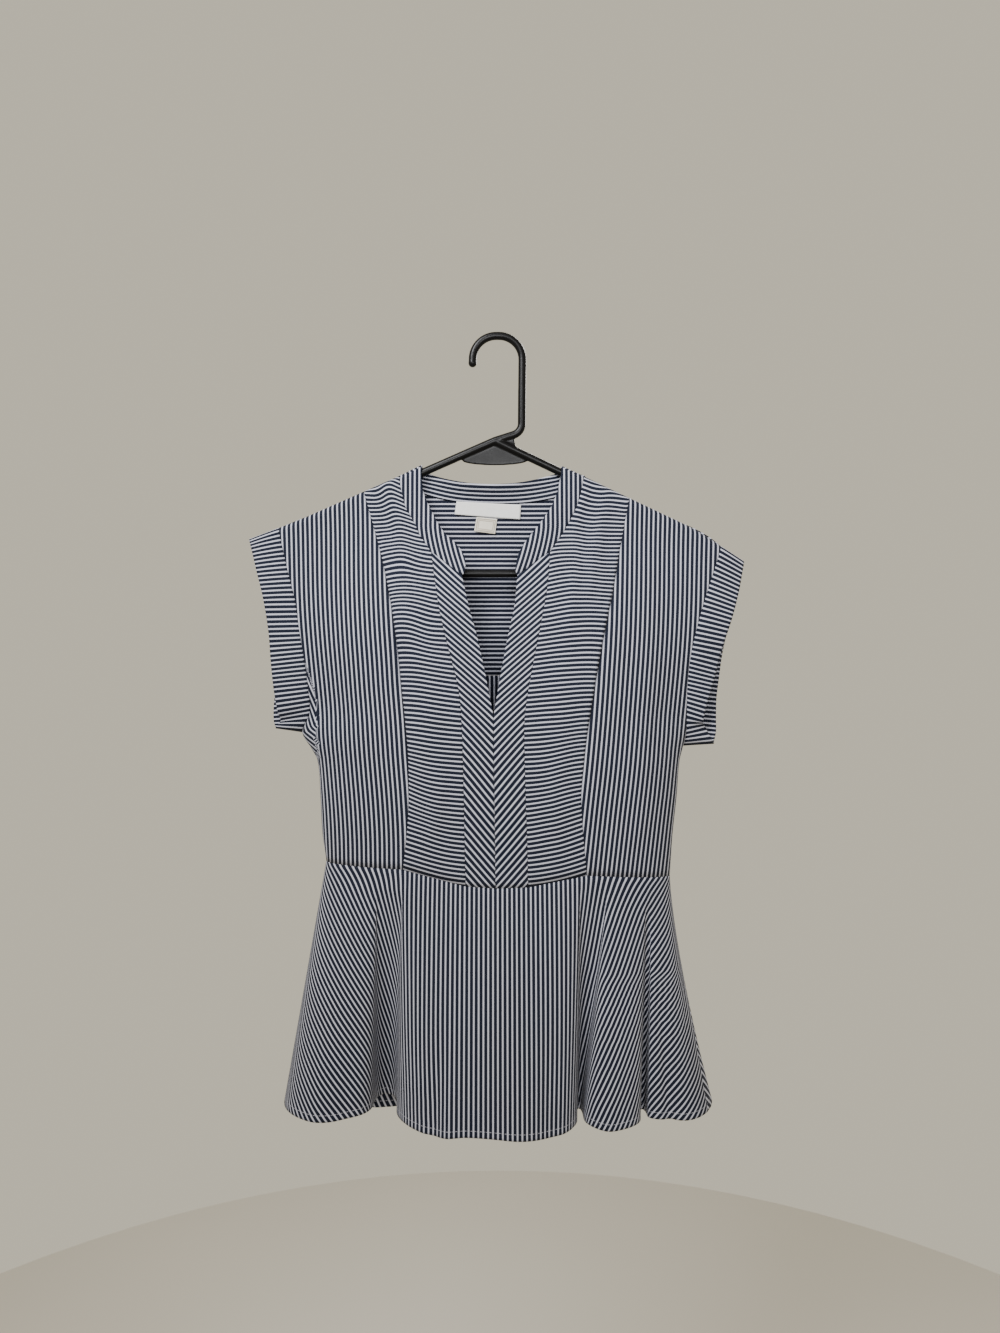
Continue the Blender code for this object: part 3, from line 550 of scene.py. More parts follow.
def fold_lift(folds, x, z):
    lift = 0.0
    for top_x, top_z, bottom_x, bottom_z, width, height in folds:
        share = (z - top_z) / (bottom_z - top_z)
        if 0 < share < 1:
            line_x = mix(top_x, bottom_x, share)
            lift += height * math.sin(math.pi * share) * math.exp(-((x - line_x) / width) ** 2)
    return lift


def arch_depth(drop, radius):
    """Half depth of a round fold, at a drop below its top."""
    return radius * math.sqrt(1 - (1 - clamp(drop / radius)) ** 2)


def bodice_depth(x, z, column, folds):
    """Half depth of the bodice: an arch over the arm that opens out below it and closes at the sides."""
    side = side_of(x)
    edge = read(BODY_EDGE, z, side.column)
    inward = clamp((x - edge) / (APEX[0] - edge)) / ROUND_SHARE
    bend = min(inward, 1.0)
    flat = math.sin(math.pi / 2 * bend)
    round_ = math.sqrt(1 - (1 - bend) ** 2)
    below = smooth_step((side.underarm + SIDE_CLOSES_ABOVE - z) / SIDE_CLOSES_OVER)
    top = shoulder_z(side.sign * SHOULDER_REACH)
    height = clamp((top - z) / (top - side.underarm))
    mouth = ARMHOLE_HALF_DEPTH * math.sin(math.pi * height) ** ARMHOLE_FULLNESS if height < 1 else 0.0
    body = mix(mouth, read(SECTIONS, z, column), mix(flat, round_, below))
    drop = max(0.0, shoulder_z(x) - z)
    opened = smooth_step(drop / OPENS_OVER)
    depth = arch_depth(drop, OVER_ROD) + (body - OVER_ROD) * opened
    return max(depth + fold_lift(folds, x, z) * min(1.0, bend * 2), EDGE_LIFT)


def front_point(x, z):
    return (x, -bodice_depth(x, z, 1, FRONT_FOLDS), z)


def back_point(x, z):
    return (x, bodice_depth(x, z, 2, BACK_FOLDS), z)


def waist_z(x):
    return read(WAIST, x, 1, straight=True)


# Seams as points (x, z), read at a share from the shoulder (0) to the waist (1)

def princess_seam(side, share):
    top_x = PRINCESS_SEAM[0][side.column]
    bottom_x = PRINCESS_SEAM[-1][side.column]
    z = mix(shoulder_z(top_x), waist_z(bottom_x), share ** 2)
    return read(PRINCESS_SEAM, z, side.column), z


def armhole_top(side):
    """Where the armhole seam meets the shoulder line."""
    x = side.sign * SHOULDER_REACH
    for _ in range(8):
        x = read(BODY_EDGE, shoulder_z(x), side.column)
    return x, shoulder_z(x)


def body_edge(side, share):
    """Armhole seam down to the underarm, then the side seam."""
    turn = ARMHOLE_ROWS / ROWS
    top = armhole_top(side)[1]
    if share <= turn:
        z = mix(top, side.underarm, (share / turn) ** 2)
    else:
        bottom = WAIST[0][1] if side is LEFT else WAIST[-1][1]
        z = mix(side.underarm, bottom, (share - turn) / (1 - turn))
    return read(BODY_EDGE, z, side.column), z


def sewn(point, *distances, deep=0.0, deep_width=ROLLED_EDGE):
    """The point pressed in beside seams at these distances; deep adds a rolled edge at the first."""
    x, y, z = point
    inward = sum(SEAM_DIP * math.exp(-(distance / SEAM_WIDTH) ** 2) for distance in distances)
    inward += deep * math.exp(-(distances[0] / deep_width) ** 2)
    inward = min(inward, max(0.0, abs(y) - EDGE_LIFT))
    return x, y - math.copysign(inward, y), z


def roll_at(z):
    share = (z - ROLL_FROM) / (ROLL_TO - ROLL_FROM)
    return ROLL_DEPTH * math.sin(math.pi * clamp(share))


def closer_at_sides(u, even=0.0):
    """Spaces columns closer beside both seams; even is how much of the even spacing stays."""
    return mix((1 - math.cos(math.pi * u)) / 2, u, even)


def loose_step(start, end):
    """Distance across the stripes, with less of the depth where the cloth lies loosely."""
    aside, deep = abs(end[0] - start[0]), abs(end[1] - start[1])
    loose = mix(LOOSE, 1.0, smooth_step(deep / (aside + NEAR_ZERO) - STEEP))
    return math.hypot(aside, loose * deep)


def lengthwise(grid, grain, column):
    """The cut for stripes down the piece: distance along each row from the grain line, and depth."""
    cut = []
    for row in grid:
        along = lengths(row, loose_step)
        way = 1 if row[-1][0] > row[0][0] else -1
        line_x = read(grain, row[0][2], column)
        index = min(range(len(row)), key=lambda step: abs(row[step][0] - line_x))
        zero = along[index] + way * (line_x - row[index][0])
        cut.append([(way * (length - zero), -point[2]) for length, point in zip(along, row)])
    return cut


def cut_size(mesh):
    """Sides of the smallest rectangle the flat piece is cut from, and its area, from the cut map."""
    chart = mesh.uv_layers["cut"].data
    area = 0.0
    for face in mesh.polygons:
        corners = [chart[index].uv for index in face.loop_indices]
        area += abs(sum(a[0] * b[1] - b[0] * a[1]
                        for a, b in zip(corners, corners[1:] + corners[:1]))) / 2
    sizes = []
    for degrees in range(0, 90, 3):
        turn = Matrix.Rotation(math.radians(degrees), 2)
        spots = [turn @ corner.uv for corner in chart]
        sizes.append([max(spot[axis] for spot in spots) - min(spot[axis] for spot in spots)
                      for axis in (0, 1)])
    return min(sizes, key=lambda size: size[0] * size[1]), area


def cloth(name, grid, cut, wall, facing, ring=False, hem=None, finish=None,
          flat=None):
    """A sheet of cloth through a grid of points, walled on its inner side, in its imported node's place."""
    rows, columns = len(grid), len(grid[0])
    mesh = bpy.data.meshes.new(name)
    bm = bmesh.new()
    bmesh.ops.create_grid(bm, x_segments=columns - 1, y_segments=rows - 1, size=1.0)
    spots = {}
    for vert in bm.verts:
        column = round((vert.co.x + 1) / 2 * (columns - 1))
        row = round((vert.co.y + 1) / 2 * (rows - 1))
        spots[vert] = (row, column)
        vert.co = [value * MM for value in grid[row][column]]
    maps = [("cut", cut)] + ([("hem", hem)] if hem else [])
    for map_name, values in maps:
        chart = bm.loops.layers.uv.new(map_name)
        for face in bm.faces:
            for loop in face.loops:
                row, column = spots[loop.vert]
                loop[chart].uv = [value * MM for value in values[row][column]]
    if ring:
        bmesh.ops.remove_doubles(bm, verts=bm.verts, dist=0.00001)
    bm.normal_update()
    outermost = max(bm.faces, key=lambda face: facing * face.calc_center_median().y)
    if outermost.normal.y * facing < 0:
        bmesh.ops.reverse_faces(bm, faces=bm.faces)
    bm.to_mesh(mesh)
    bm.free()
    mesh.shade_smooth()
    mesh.materials.append(finish or COTTON)
    piece = link_object(name + "_cloth", mesh)
    solidify = piece.modifiers.new("wall", "SOLIDIFY")
    solidify.thickness = wall * MM
    solidify.offset = -1.0
    flat, area = flat or cut_size(mesh)
    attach(piece, "root")
    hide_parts(name)
    min(area, flat[0] * flat[1])
    return piece


def tucked(grid, cut):
    """The cut with the stripes leaning where the cloth is tucked under the left arm."""
    for row, line in zip(grid, cut):
        for step, (x, y, z) in enumerate(row):
            if TUCK[-1][0] < z < TUCK[0][0] and x < read(TUCK, z, 1):
                degrees, level = TUCK_LEANS[z < TUCK_TURNS_AT]
                lean = math.radians(degrees)
                across, along = line[step]
                line[step] = (across * math.cos(lean) + (z - level) * math.sin(lean), along)
    return cut


def grid_of(rows, columns, point):
    """Points row by row, each from its shares u across and v down."""
    return [[point(step / columns, down / rows) for step in range(columns + 1)]
            for down in range(rows + 1)]


def front_grid(side, rows, columns, seams_at, spacing, place):
    """Points between two seams. seams_at gives both seams' points at a row's share, spacing the
    columns' shares, and place turns x, z, both seams' x, the row's and the column's share into one."""
    def point(u, v):
        inner, outer = seams_at(v)
        share = spacing(u)
        x, z = mix_points(inner, outer, share)
        return place(x + side.sign * SEAM_GAP / 2 * (1 - 2 * u), z, inner[0], outer[0], v, share)

    return grid_of(rows, columns, point)


def front_side(side):
    shoulder = princess_seam(side, 0), armhole_top(side)

    def place(x, z, inner_x, outer_x, v, share):
        top_x, top_z = mix_points(*shoulder, share)
        z += (shoulder_z(top_x) - top_z) * (1 - smooth_step(v * SHOULDER_FADE))
        edges = [abs(x - inner_x), z - waist_z(x)]
        if v < ARMHOLE_ROWS / ROWS:
            edges.append(abs(x - outer_x))
        return sewn(front_point(x, z), *edges, deep=roll_at(z), deep_width=ROLL_WIDTH)

    grid = front_grid(
        side, ROWS * FINER_DOWN, SIDE_COLUMNS, lambda v: (princess_seam(side, v), body_edge(side, v)),
        lambda u: mix(math.sin(math.pi / 2 * u), closer_at_sides(u, SIDE_EVEN), BOTH_SEAMS), place)
    cut = lengthwise(grid, SIDE_GRAIN, side.column)
    cut = tucked(grid, cut) if side is LEFT else cut
    cloth("front_side_" + side.name, grid, cut, ONE_LAYER, -1)


for side in (LEFT, RIGHT):
    front_side(side)


# The centre fronts: cut with the stripes across, sewn to the collar and the front band on one side
# and to the side front on the other. As the cloth hangs, the stripes rise and fall over its folds.

NECK_SEAM = (
    (-141, -102, 90), (-160, -99, 86), (-176, -94.5, 81), (-190, -86.5, 74),
    (-204, -80, 66), (-222, -68, 54),
)
BAND_SEAM = (
    (-222, -68, 54), (-256, -63, 51), (-290, -57, 45), (-326, -48, 38),
    (-363, -39, 31), (-396, -36, 27), (-460, -34, 28), (-520, -33, 30), (-562, -32, 31),
)
NECK_ROWS = 8
CENTRE_COLUMNS = 34
CENTRE_EVEN = 0.35
# How the stripes tilt over the folds, in degrees up to the right. Columns: z, at the neck or band,
# at a quarter, half and three quarters of the width, at the side front
TILT_LEFT = (
    (-153, -20, -25, 30, 0, 0), (-183, -30, -20, 10, 6, 2), (-213, -10, -18, -16, 14, 20),
    (-243, -3, -10, -10, 8, 14), (-273, -1, -18, -14, 2, 17), (-303, -3, -5, -21, -2, 14),
    (-333, -6, -9, -12, -1, 6), (-363, -6, -9, -10, -4, 2), (-393, -5, -7, -9, -5, -2),
    (-423, -3, -5, -8, -10, -9), (-453, -4, -6, -9, -18, -20), (-483, -4, -6, -12, -22, -24),
    (-513, -5, -8, -19, -17, -18), (-543, -6, -8, -15, -17, -17),
)
TILT_RIGHT = (
    (-153, -30, -15, 3, -8, 0), (-183, -18, -10, 4, 2, 0), (-213, 14, 4, -5, 2, 2),
    (-243, 18, 11, -2, -2, -2), (-273, 9, 13, 4, -2, -4), (-303, 6, 10, 6, -2, -7),
    (-333, 8, 8, 4, 0, -6), (-363, 5, 6, 6, 3, -2), (-393, 5, 5, 5, 7, -4),
    (-423, 3, 4, 13, 10, 0), (-453, 3, 6, 16, 10, 6), (-483, 5, 10, 15, 15, 12),
    (-513, 6, 11, 13, 18, 20), (-543, 4, 8, 13, 17, 20),
)


def neck_seam(side, share):
    top_x = NECK_SEAM[0][side.column]
    z = mix(shoulder_z(top_x), NECK_SEAM[-1][0], share ** 2)
    return read(NECK_SEAM, z, side.column), z


def centre_edge(side, share):
    """Neck seam, then the seam to the front band."""
    turn = NECK_ROWS / ROWS
    if share <= turn:
        return neck_seam(side, share / turn)
    done = (share ** 2 - turn ** 2) / (1 - turn ** 2)
    z = mix(BAND_SEAM[0][0], waist_z(BAND_SEAM[-1][side.column]), done)
    return read(BAND_SEAM, z, side.column), z


def crosswise(grid, tilts=None):
    """The cut for stripes across the piece: length up each column, less the stripes' rise to it."""
    rows, columns = len(grid), len(grid[0])
    cut = [[None] * columns for _ in range(rows)]
    for step in range(columns):
        up = grid[-1][step][2]
        for down in range(rows - 1, -1, -1):
            x, y, z = grid[down][step]
            if down < rows - 1:
                below = grid[down + 1][step]
                up += math.hypot(z - below[2], y - below[1])
            cut[down][step] = (up, x)
    if tilts:
        for down, row in enumerate(grid):
            at_z = [(share / 4, read(tilts, row[0][2], share + 1)) for share in range(5)]
            rise = 0.0
            for step in range(1, columns):
                tilt = read(at_z, (step - 0.5) / (columns - 1), 1)
                rise += (row[step][0] - row[step - 1][0]) * math.tan(math.radians(tilt))
                up, x = cut[down][step]
                cut[down][step] = (up - rise, x)
    return cut


def front_centre(side, tilts):
    def place(x, z, inner_x, outer_x, *_):
        edges = (abs(x - outer_x), abs(x - inner_x), z - waist_z(x))
        return sewn(front_point(x, z), *edges, deep=roll_at(z))

    grid = front_grid(
        side, ROWS * FINER_DOWN, CENTRE_COLUMNS, lambda v: (centre_edge(side, v), princess_seam(side, v)),
        lambda u: closer_at_sides(u, CENTRE_EVEN), place)
    cloth("front_centre_" + side.name, grid, crosswise(grid, tilts), ONE_LAYER, -1)


front_centre(LEFT, TILT_LEFT)
front_centre(RIGHT, TILT_RIGHT)


# The front bands: cut on the bias and sewn down both sides of the opening, so that their stripes
# meet in a chevron where they are joined below it. The opening's edges are folded.

OPENING_EDGE = (
    (-247, -36, 20), (-278, -29, 17), (-311, -20, 10), (-348, -12, 3), (-389, -4, -4),
)
NOTCH_Z = -247.0
OPENING_POINT_Z = -389.0
CENTRE_WAIST = (-2.0, -563.0)
# How far the bands' stripes lean from upright, in degrees. Columns: z, lean
CHEVRON = ((-240, 46), (-270, 49), (-370, 48), (-420, 42), (-460, 39), (-563, 41))
CHEVRON_MEAN = math.radians(45)
CHEVRON_STEP = 4.0
BAND_WALL = 1.2 * ONE_LAYER
BAND_COLUMNS = 18
BAND_EVEN = 0.4
BAND_ROWS = 80


def band_edge(side, share):
    """Edge of the front opening, then the centre front seam."""
    turn = NECK_ROWS / ROWS
    done = (share ** 2 - turn ** 2) / (1 - turn ** 2)
    point = ((ARMHOLE_ROWS / ROWS) ** 2 - turn ** 2) / (1 - turn ** 2)
    if done <= point:
        z = mix(NOTCH_Z, OPENING_POINT_Z, done / point)
        return read(OPENING_EDGE, z, side.column), z
    rest = (done - point) / (1 - point)
    return mix_points((OPENING_EDGE[-1][side.column], OPENING_POINT_Z), CENTRE_WAIST, rest)


def chevron(side, grid):
    """The cut for slanting stripes, the same on both sides of the centre front."""
    cut = []
    for row in grid:
        line = []
        for x, y, z in row:
            steps = max(1, round(abs(z - NOTCH_Z) / CHEVRON_STEP))
            sunk = sum(math.tan(math.radians(read(CHEVRON, mix(NOTCH_Z, z, (step + 0.5) / steps), 1)))
                       for step in range(steps)) * (z - NOTCH_Z) / steps
            out = -side.sign * (x - OPENING_EDGE[-1][1])
            line.append(((out + sunk) * math.cos(CHEVRON_MEAN), (sunk - out) * math.sin(CHEVRON_MEAN)))
        cut.append(line)
    return cut


def front_band(side):
    def seams_at(v):
        share = mix(NECK_ROWS / ROWS, 1.0, v)
        return band_edge(side, share), centre_edge(side, share)

    def place(x, z, inner_x, outer_x, v, _):
        joined = seams_at(v)[0][1] < OPENING_POINT_Z
        z -= SEAM_GAP * (1 - v)
        edges = [abs(x - outer_x), z - waist_z(x)] + ([abs(x - inner_x)] if joined else [])
        return sewn(front_point(x, z), *edges)

    grid = front_grid(side, BAND_ROWS, BAND_COLUMNS, seams_at,
                      lambda u: closer_at_sides(u, BAND_EVEN), place)
    cloth("front_band_" + side.name, grid, chevron(side, grid), BAND_WALL, -1)


for side in (LEFT, RIGHT):
    front_band(side)


# The back: a yoke cut with the stripes across, over a body cut with the stripes down, which is laid
# in a small pleat at the centre. Both are one layer, sewn to each other and to the fronts' sides.

YOKE_SEAM_Z = -349.0
NECK_STATIONS = (0.0, 0.012, 0.04, 0.075, 0.12, 0.19, 0.28, 0.38, 0.5)
SHOULDER_SHARE = 6 / 28
BACK_COLUMNS = 112
YOKE_DOWN = 60
# Rows from the yoke to the underarm and from there to the waist
BODY_DOWN = (20, 36)
# The yoke's sides follow the armhole over one part in this many of the width
PULL_NARROW = 14
BACK_GRAIN = ((-340, -6, -6), (-560, -5, -5))
# Columns: share from left to right shoulder, seam x, z, free edge x, z, lean
COLLAR_BACK = (
    (0.0, -102, -141, -79, -130, 0.0), (0.1, -98, -151, -76, -136, 0.6),
    (0.24, -76, -159, -61, -142, 3.0), (0.38, -43, -166, -34, -148, 7.0),
    (0.5, -6, -168, -6, -150, 9.0), (0.62, 31, -167, 23, -148, 7.0),
    (0.76, 65, -161, 49, -142, 3.0), (0.9, 86, -152, 63, -137, 0.6), (1.0, 90, -141, 67, -131, 0.0),
)


def neck_share(along):
    """Share along the back neck, with the stations closer where it goes over the arms."""
    mirrored = along > 0.5
    at = (1 - along if mirrored else along) * 2 * (len(NECK_STATIONS) - 1)
    low = min(int(at), len(NECK_STATIONS) - 2)
    share = mix(NECK_STATIONS[low], NECK_STATIONS[low + 1], at - low)
    return 1 - share if mirrored else share


def back_neck(share):
    return read(COLLAR_BACK, share, 1), read(COLLAR_BACK, share, 2)


def yoke_top(u):
    """Shoulder line, back neck seam and shoulder line, from left to right."""
    if u <= SHOULDER_SHARE:
        x = mix(armhole_top(LEFT)[0], NECK_SEAM[0][1], u / SHOULDER_SHARE)
        return x, shoulder_z(x)
    if u < 1 - SHOULDER_SHARE:
        return back_neck(neck_share((u - SHOULDER_SHARE) / (1 - 2 * SHOULDER_SHARE)))
    x = mix(armhole_top(RIGHT)[0], NECK_SEAM[0][2], (1 - u) / SHOULDER_SHARE)
    return x, shoulder_z(x)


def edge_pull(u, z, v):
    """How far the outer columns move over to follow the armhole's curve."""
    side = LEFT if u < 0.5 else RIGHT
    near = 1 - smooth_step(min(u, 1 - u) * PULL_NARROW)
    straight = mix(armhole_top(side)[0], read(BODY_EDGE, YOKE_SEAM_Z, side.column), v ** 2)
    return near * (read(BODY_EDGE, z, side.column) - straight)


def back_yoke():
    def point(u, v):
        top_x, top_z = yoke_top(u)
        bottom_x = mix(*(read(BODY_EDGE, YOKE_SEAM_Z, column) for column in (1, 2)), closer_at_sides(u))
        z = mix(top_z, YOKE_SEAM_Z + SEAM_GAP / 2, v ** 2)
        x = mix(top_x, bottom_x, v ** 2) + edge_pull(u, z, v)
        edge_x = read(BODY_EDGE, z, side_of(x).column)
        return sewn(back_point(x, z), z - YOKE_SEAM_Z, abs(x - edge_x))

    grid = grid_of(YOKE_DOWN, BACK_COLUMNS, point)
    cloth("back_yoke", grid, crosswise(grid), ONE_LAYER, 1)


def back_place(u, upper, lower):
    """A point of the back body: upper goes from the yoke to the underarm, lower on to the waist."""
    ends = []
    for side, waist in ((LEFT, WAIST[0][1]), (RIGHT, WAIST[-1][1])):
        z = mix(mix(YOKE_SEAM_Z - SEAM_GAP / 2, side.underarm, upper), waist, lower)
        ends.append((read(BODY_EDGE, z, side.column), z))
    x = mix(ends[0][0], ends[1][0], closer_at_sides(u))
    return back_point(x, mix(ends[0][1], ends[1][1], u))


def back_body():
    upper_rows, lower_rows = BODY_DOWN
    steps = [(down / upper_rows, 0.0) for down in range(upper_rows)]
    steps += [(1.0, down / lower_rows) for down in range(lower_rows + 1)]
    grid = []
    for upper, lower in steps:
        from_waist = 0.0 if lower == 1 else FAR_FROM_SEAM
        line = [back_place(step / BACK_COLUMNS, upper, lower) for step in range(BACK_COLUMNS + 1)]
        grid.append([sewn(point, YOKE_SEAM_Z - point[2], from_waist) for point in line])
    cloth("back_body", grid, lengthwise(grid, BACK_GRAIN, 1), ONE_LAYER, 1)


back_yoke()
back_body()


# The band collar: cotton folded double with the stripes along it, sewn round the neck. It stands at
# the back, goes over the hanger's arms and turns down to the notch at the top of the opening.

COLLAR_OVER_ROD = 7.2
COLLAR_ACROSS = 14
COLLAR_FRONT_STEPS = 55
COLLAR_BACK_STEPS = 96
COLLAR_SWELL = 0.9
COLLAR_INSET = 0.5
# Columns: share of the way from shoulder to notch, left x, left z, right x, right z, stands out by
COLLAR_FRONT = (
    (0.0, -79, -130, 67, -131, 0.0), (0.2, -77, -157, 62, -158, 1.5),
    (0.4, -69, -177, 54, -177, 2.5), (0.6, -57, -199, 43, -193, 3.0),
    (0.8, -42, -215, 31, -209, 3.0), (0.93, -33, -229, 21, -225, 2.5),
    (1.0, -33, -243, 18, -241, 1.5),
)
COLLAR_SEAT = -1.4
# In front of the shoulder the stripes are upright from here down
COLLAR_UPRIGHT_BELOW = -144.0
COLLAR_LEANS_BELOW = -195.0
COLLAR_LEAN = 0.035


def collar_front(side, t):
    """Seam point and free edge point, from the shoulder (0) to the notch (1)."""
    turn = NECK_ROWS / ROWS
    reach = NECK_ROWS / (NECK_ROWS + 3)
    if t <= reach:
        seam = neck_seam(side, t / reach)
    else:
        seam = mix_points(centre_edge(side, turn), band_edge(side, turn), (t - reach) / (1 - reach))
    column = 2 * side.column - 1
    share = t ** 2
    free = (read(COLLAR_FRONT, share, column), read(COLLAR_FRONT, share, column + 1))
    over = arch_depth(COLLAR_FRONT[0][column + 1] - free[1], COLLAR_OVER_ROD)
    free_y = -max(over, -front_point(*free)[1]) - read(COLLAR_FRONT, share, 5)
    return front_point(*seam), (free[0], free_y, free[1])


def collar_back(share):
    seam = back_point(*back_neck(share))
    free_x, free_z, lean = (read(COLLAR_BACK, share, column) for column in (3, 4, 5))
    top_z = COLLAR_BACK[0 if share < 0.5 else -1][4]
    over = arch_depth(top_z - free_z, COLLAR_OVER_ROD)
    free = (free_x, max(over, back_point(free_x, free_z)[1]) - lean, free_z)
    return mix_points(seam, free, COLLAR_SEAT / math.dist(seam, free)), free


def across_collar(seam, free, v):
    """Distance across the stripes, which run along the collar at the back and upright in front."""
    x, y, z = mix_points(seam, free, v)
    if seam[1] > 0 or seam[2] > COLLAR_UPRIGHT_BELOW:
        return v * math.dist(seam, free)
    side = side_of(x)
    from_seam = side.sign * (NECK_SEAM[0][side.column] - x)
    lean = max(0.0, COLLAR_LEANS_BELOW - z) ** 1.5 * COLLAR_LEAN
    return from_seam - lean


def collar():
    front_steps, back_steps = COLLAR_FRONT_STEPS, COLLAR_BACK_STEPS
    stations = [collar_front(LEFT, step / front_steps) for step in range(front_steps, -1, -1)]
    stations += [collar_back(neck_share(step / back_steps)) for step in range(1, back_steps)]
    stations += [collar_front(RIGHT, step / front_steps) for step in range(front_steps + 1)]
    grid, cut = [], []
    along = lengths([mix_points(*pair, 0.5) for pair in stations])
    for step in range(COLLAR_ACROSS + 1):
        v = step / COLLAR_ACROSS
        swell = COLLAR_SWELL * math.sin(math.pi * v) - COLLAR_INSET
        grid.append([(x, y + (swell if y > 0 else -swell), z)
                     for x, y, z in (mix_points(seam, free, v) for seam, free in stations)])
        cut.append([(across_collar(seam, free, v), length)
                    for (seam, free), length in zip(stations, along)])
    widths = [math.dist(seam, free) * MM for seam, free in stations]
    flat = (max(widths), along[-1] * MM)
    cloth("collar", grid, cut, TWO_LAYERS, -1, flat=(flat, flat[1] * sum(widths) / len(widths)))


collar()


# The cuffs: a doubled band sewn round each armhole with the stripes across it. It stands out over
# the shoulder and hangs flattened, its lower end folded under the arm.

CUFF_HALF_DEPTH = 10.0
CUFF_FOLD = 3.6
YOKE_ROWS = 9
BACK_UPPER_ROWS = 3
# Free edge of both layers. Columns: share of the height, front x, z, back x, z
CUFF_LEFT = (
    (0.0, -258, -207, -258, -207), (0.15, -250, -238, -250, -238), (0.3, -242, -268, -242, -268),
    (0.5, -236, -305, -236, -307), (0.63, -233.7, -335, -234.5, -334),
    (0.75, -230.5, -363, -233, -359), (0.85, -227, -385, -234, -380), (0.91, -225, -396, -234, -392),
    (0.95, -228, -399, -233, -399), (1.0, -231, -404, -231, -404),
)
CUFF_RIGHT = (
    (0.0, 256, -230, 256, -230), (0.15, 250, -260, 251, -260), (0.3, 242, -289, 244, -290),
    (0.5, 231, -323, 236, -326), (0.65, 223, -354, 232, -355), (0.75, 216, -377, 229.5, -374),
    (0.85, 212, -396, 228.5, -394), (0.92, 215, -401, 228, -408), (1.0, 225, -420, 225, -420),
)
# Above this share of the height the cuff's front lies over the fold at its lower end
CUFF_CREASE = 0.885
CUFF_STEP = 3.2
CUFF_SWELL = 0.7
CUFF_SEAM_DIP = 0.6
CUFF_SEAM_NARROW = 12
# How fast the cuff opens from its end folds and the step comes and goes beside the crease, as
# parts of the height: 50 is over a fiftieth
CUFF_OPENS = 3
STEP_FROM = 0.6
STEP_GROWS = 4
CREASE_ABOVE = 50
CREASE_BELOW = 60
FOLD_END = 25
# Depth over which the swell fades towards the folds at both ends
CUFF_SWELL_FADE = 3.0
CUFF_FINER = 6
CUFF_ACROSS = 14
# How far the stripes of a cuff's front rise towards its free edge, in degrees. Columns: share of
# the height, left, right
CUFF_TILT = (
    (0.0, 0, 0), (0.05, 9, 3), (0.18, 14, 4), (0.32, 13, 5), (0.46, 6, 0), (0.6, 3, -6),
    (0.75, 7, 3), (0.9, 4, 0), (1.0, 0, 0),
)


def cuff(side, table):
    stops = ARMHOLE_ROWS + YOKE_ROWS + BACK_UPPER_ROWS
    top, bottom = armhole_top(side)[1], side.underarm

    def seam_point(station):
        if station <= ARMHOLE_ROWS:
            return front_point(*body_edge(side, station / ROWS))
        back = stops - station
        if back <= YOKE_ROWS:
            z = mix(top, YOKE_SEAM_Z, (back / YOKE_ROWS) ** 2)
        else:
            z = mix(YOKE_SEAM_Z, side.underarm, (back - YOKE_ROWS) / BACK_UPPER_ROWS)
        return back_point(read(BODY_EDGE, z, side.column), z)

    pairs, rises = [], []
    for step in range(stops * CUFF_FINER):
        station = step / CUFF_FINER
        inner = seam_point(station)
        share = clamp((top - inner[2]) / (top - bottom))
        at_back = station > ARMHOLE_ROWS
        to_fold = min(share, 1 - share)
        half = arch_depth(to_fold * (top - bottom), CUFF_FOLD)
        half += (CUFF_HALF_DEPTH - CUFF_FOLD) * smooth_step(CUFF_OPENS * to_fold)
        if not at_back:
            past = share - CUFF_CREASE
            over = smooth_step(-past * CREASE_ABOVE) * smooth_step((share - STEP_FROM) * STEP_GROWS)
            under = smooth_step(past * CREASE_BELOW) * smooth_step(to_fold * FOLD_END)
            half += CUFF_STEP * (over - under)
        column = 3 if at_back else 1
        outer = (read(table, share, column), half if at_back else -half,
                 read(table, share, column + 1))
        tilt = 0.0 if at_back else read(CUFF_TILT, share, side.column)
        rises.append(math.tan(math.radians(tilt)))
        start_y = 0.0 if station in (0, ARMHOLE_ROWS) else inner[1]
        pairs.append(((inner[0] + side.sign * SEAM_GAP / 2, start_y, inner[2]), outer))
    pairs.append(pairs[0])
    rises.append(rises[0])
    around = lengths([mix_points(*pair, 0.5) for pair in pairs])
    grid, cut = [], []
    for down in range(CUFF_ACROSS + 1):
        v = down / CUFF_ACROSS
        swell = CUFF_SWELL * math.sin(math.pi * v)
        swell -= CUFF_SEAM_DIP * math.exp(-(v * CUFF_SEAM_NARROW) ** 2)
        grid.append([(x, y + swell * math.copysign(clamp(abs(y) / CUFF_SWELL_FADE), y), z)
                     for x, y, z in (mix_points(inner, outer, v) for inner, outer in pairs)])
        out = [v * math.dist(inner, outer) for inner, outer in pairs]
        cut.append([(length + reach * rise, reach)
                    for length, reach, rise in zip(around, out, rises)])
    cloth("cuff_" + side.name, grid, cut, TWO_LAYERS, -1, ring=True)


cuff(LEFT, CUFF_LEFT)
cuff(RIGHT, CUFF_RIGHT)


# The peplum: front and back are each cut as a sector of a ring, so that the short edge fits the
# waist and the long hem falls in flutes. The stripes run straight down at the centre and slant
# towards the side seams. The hem is turned twice and stitched.

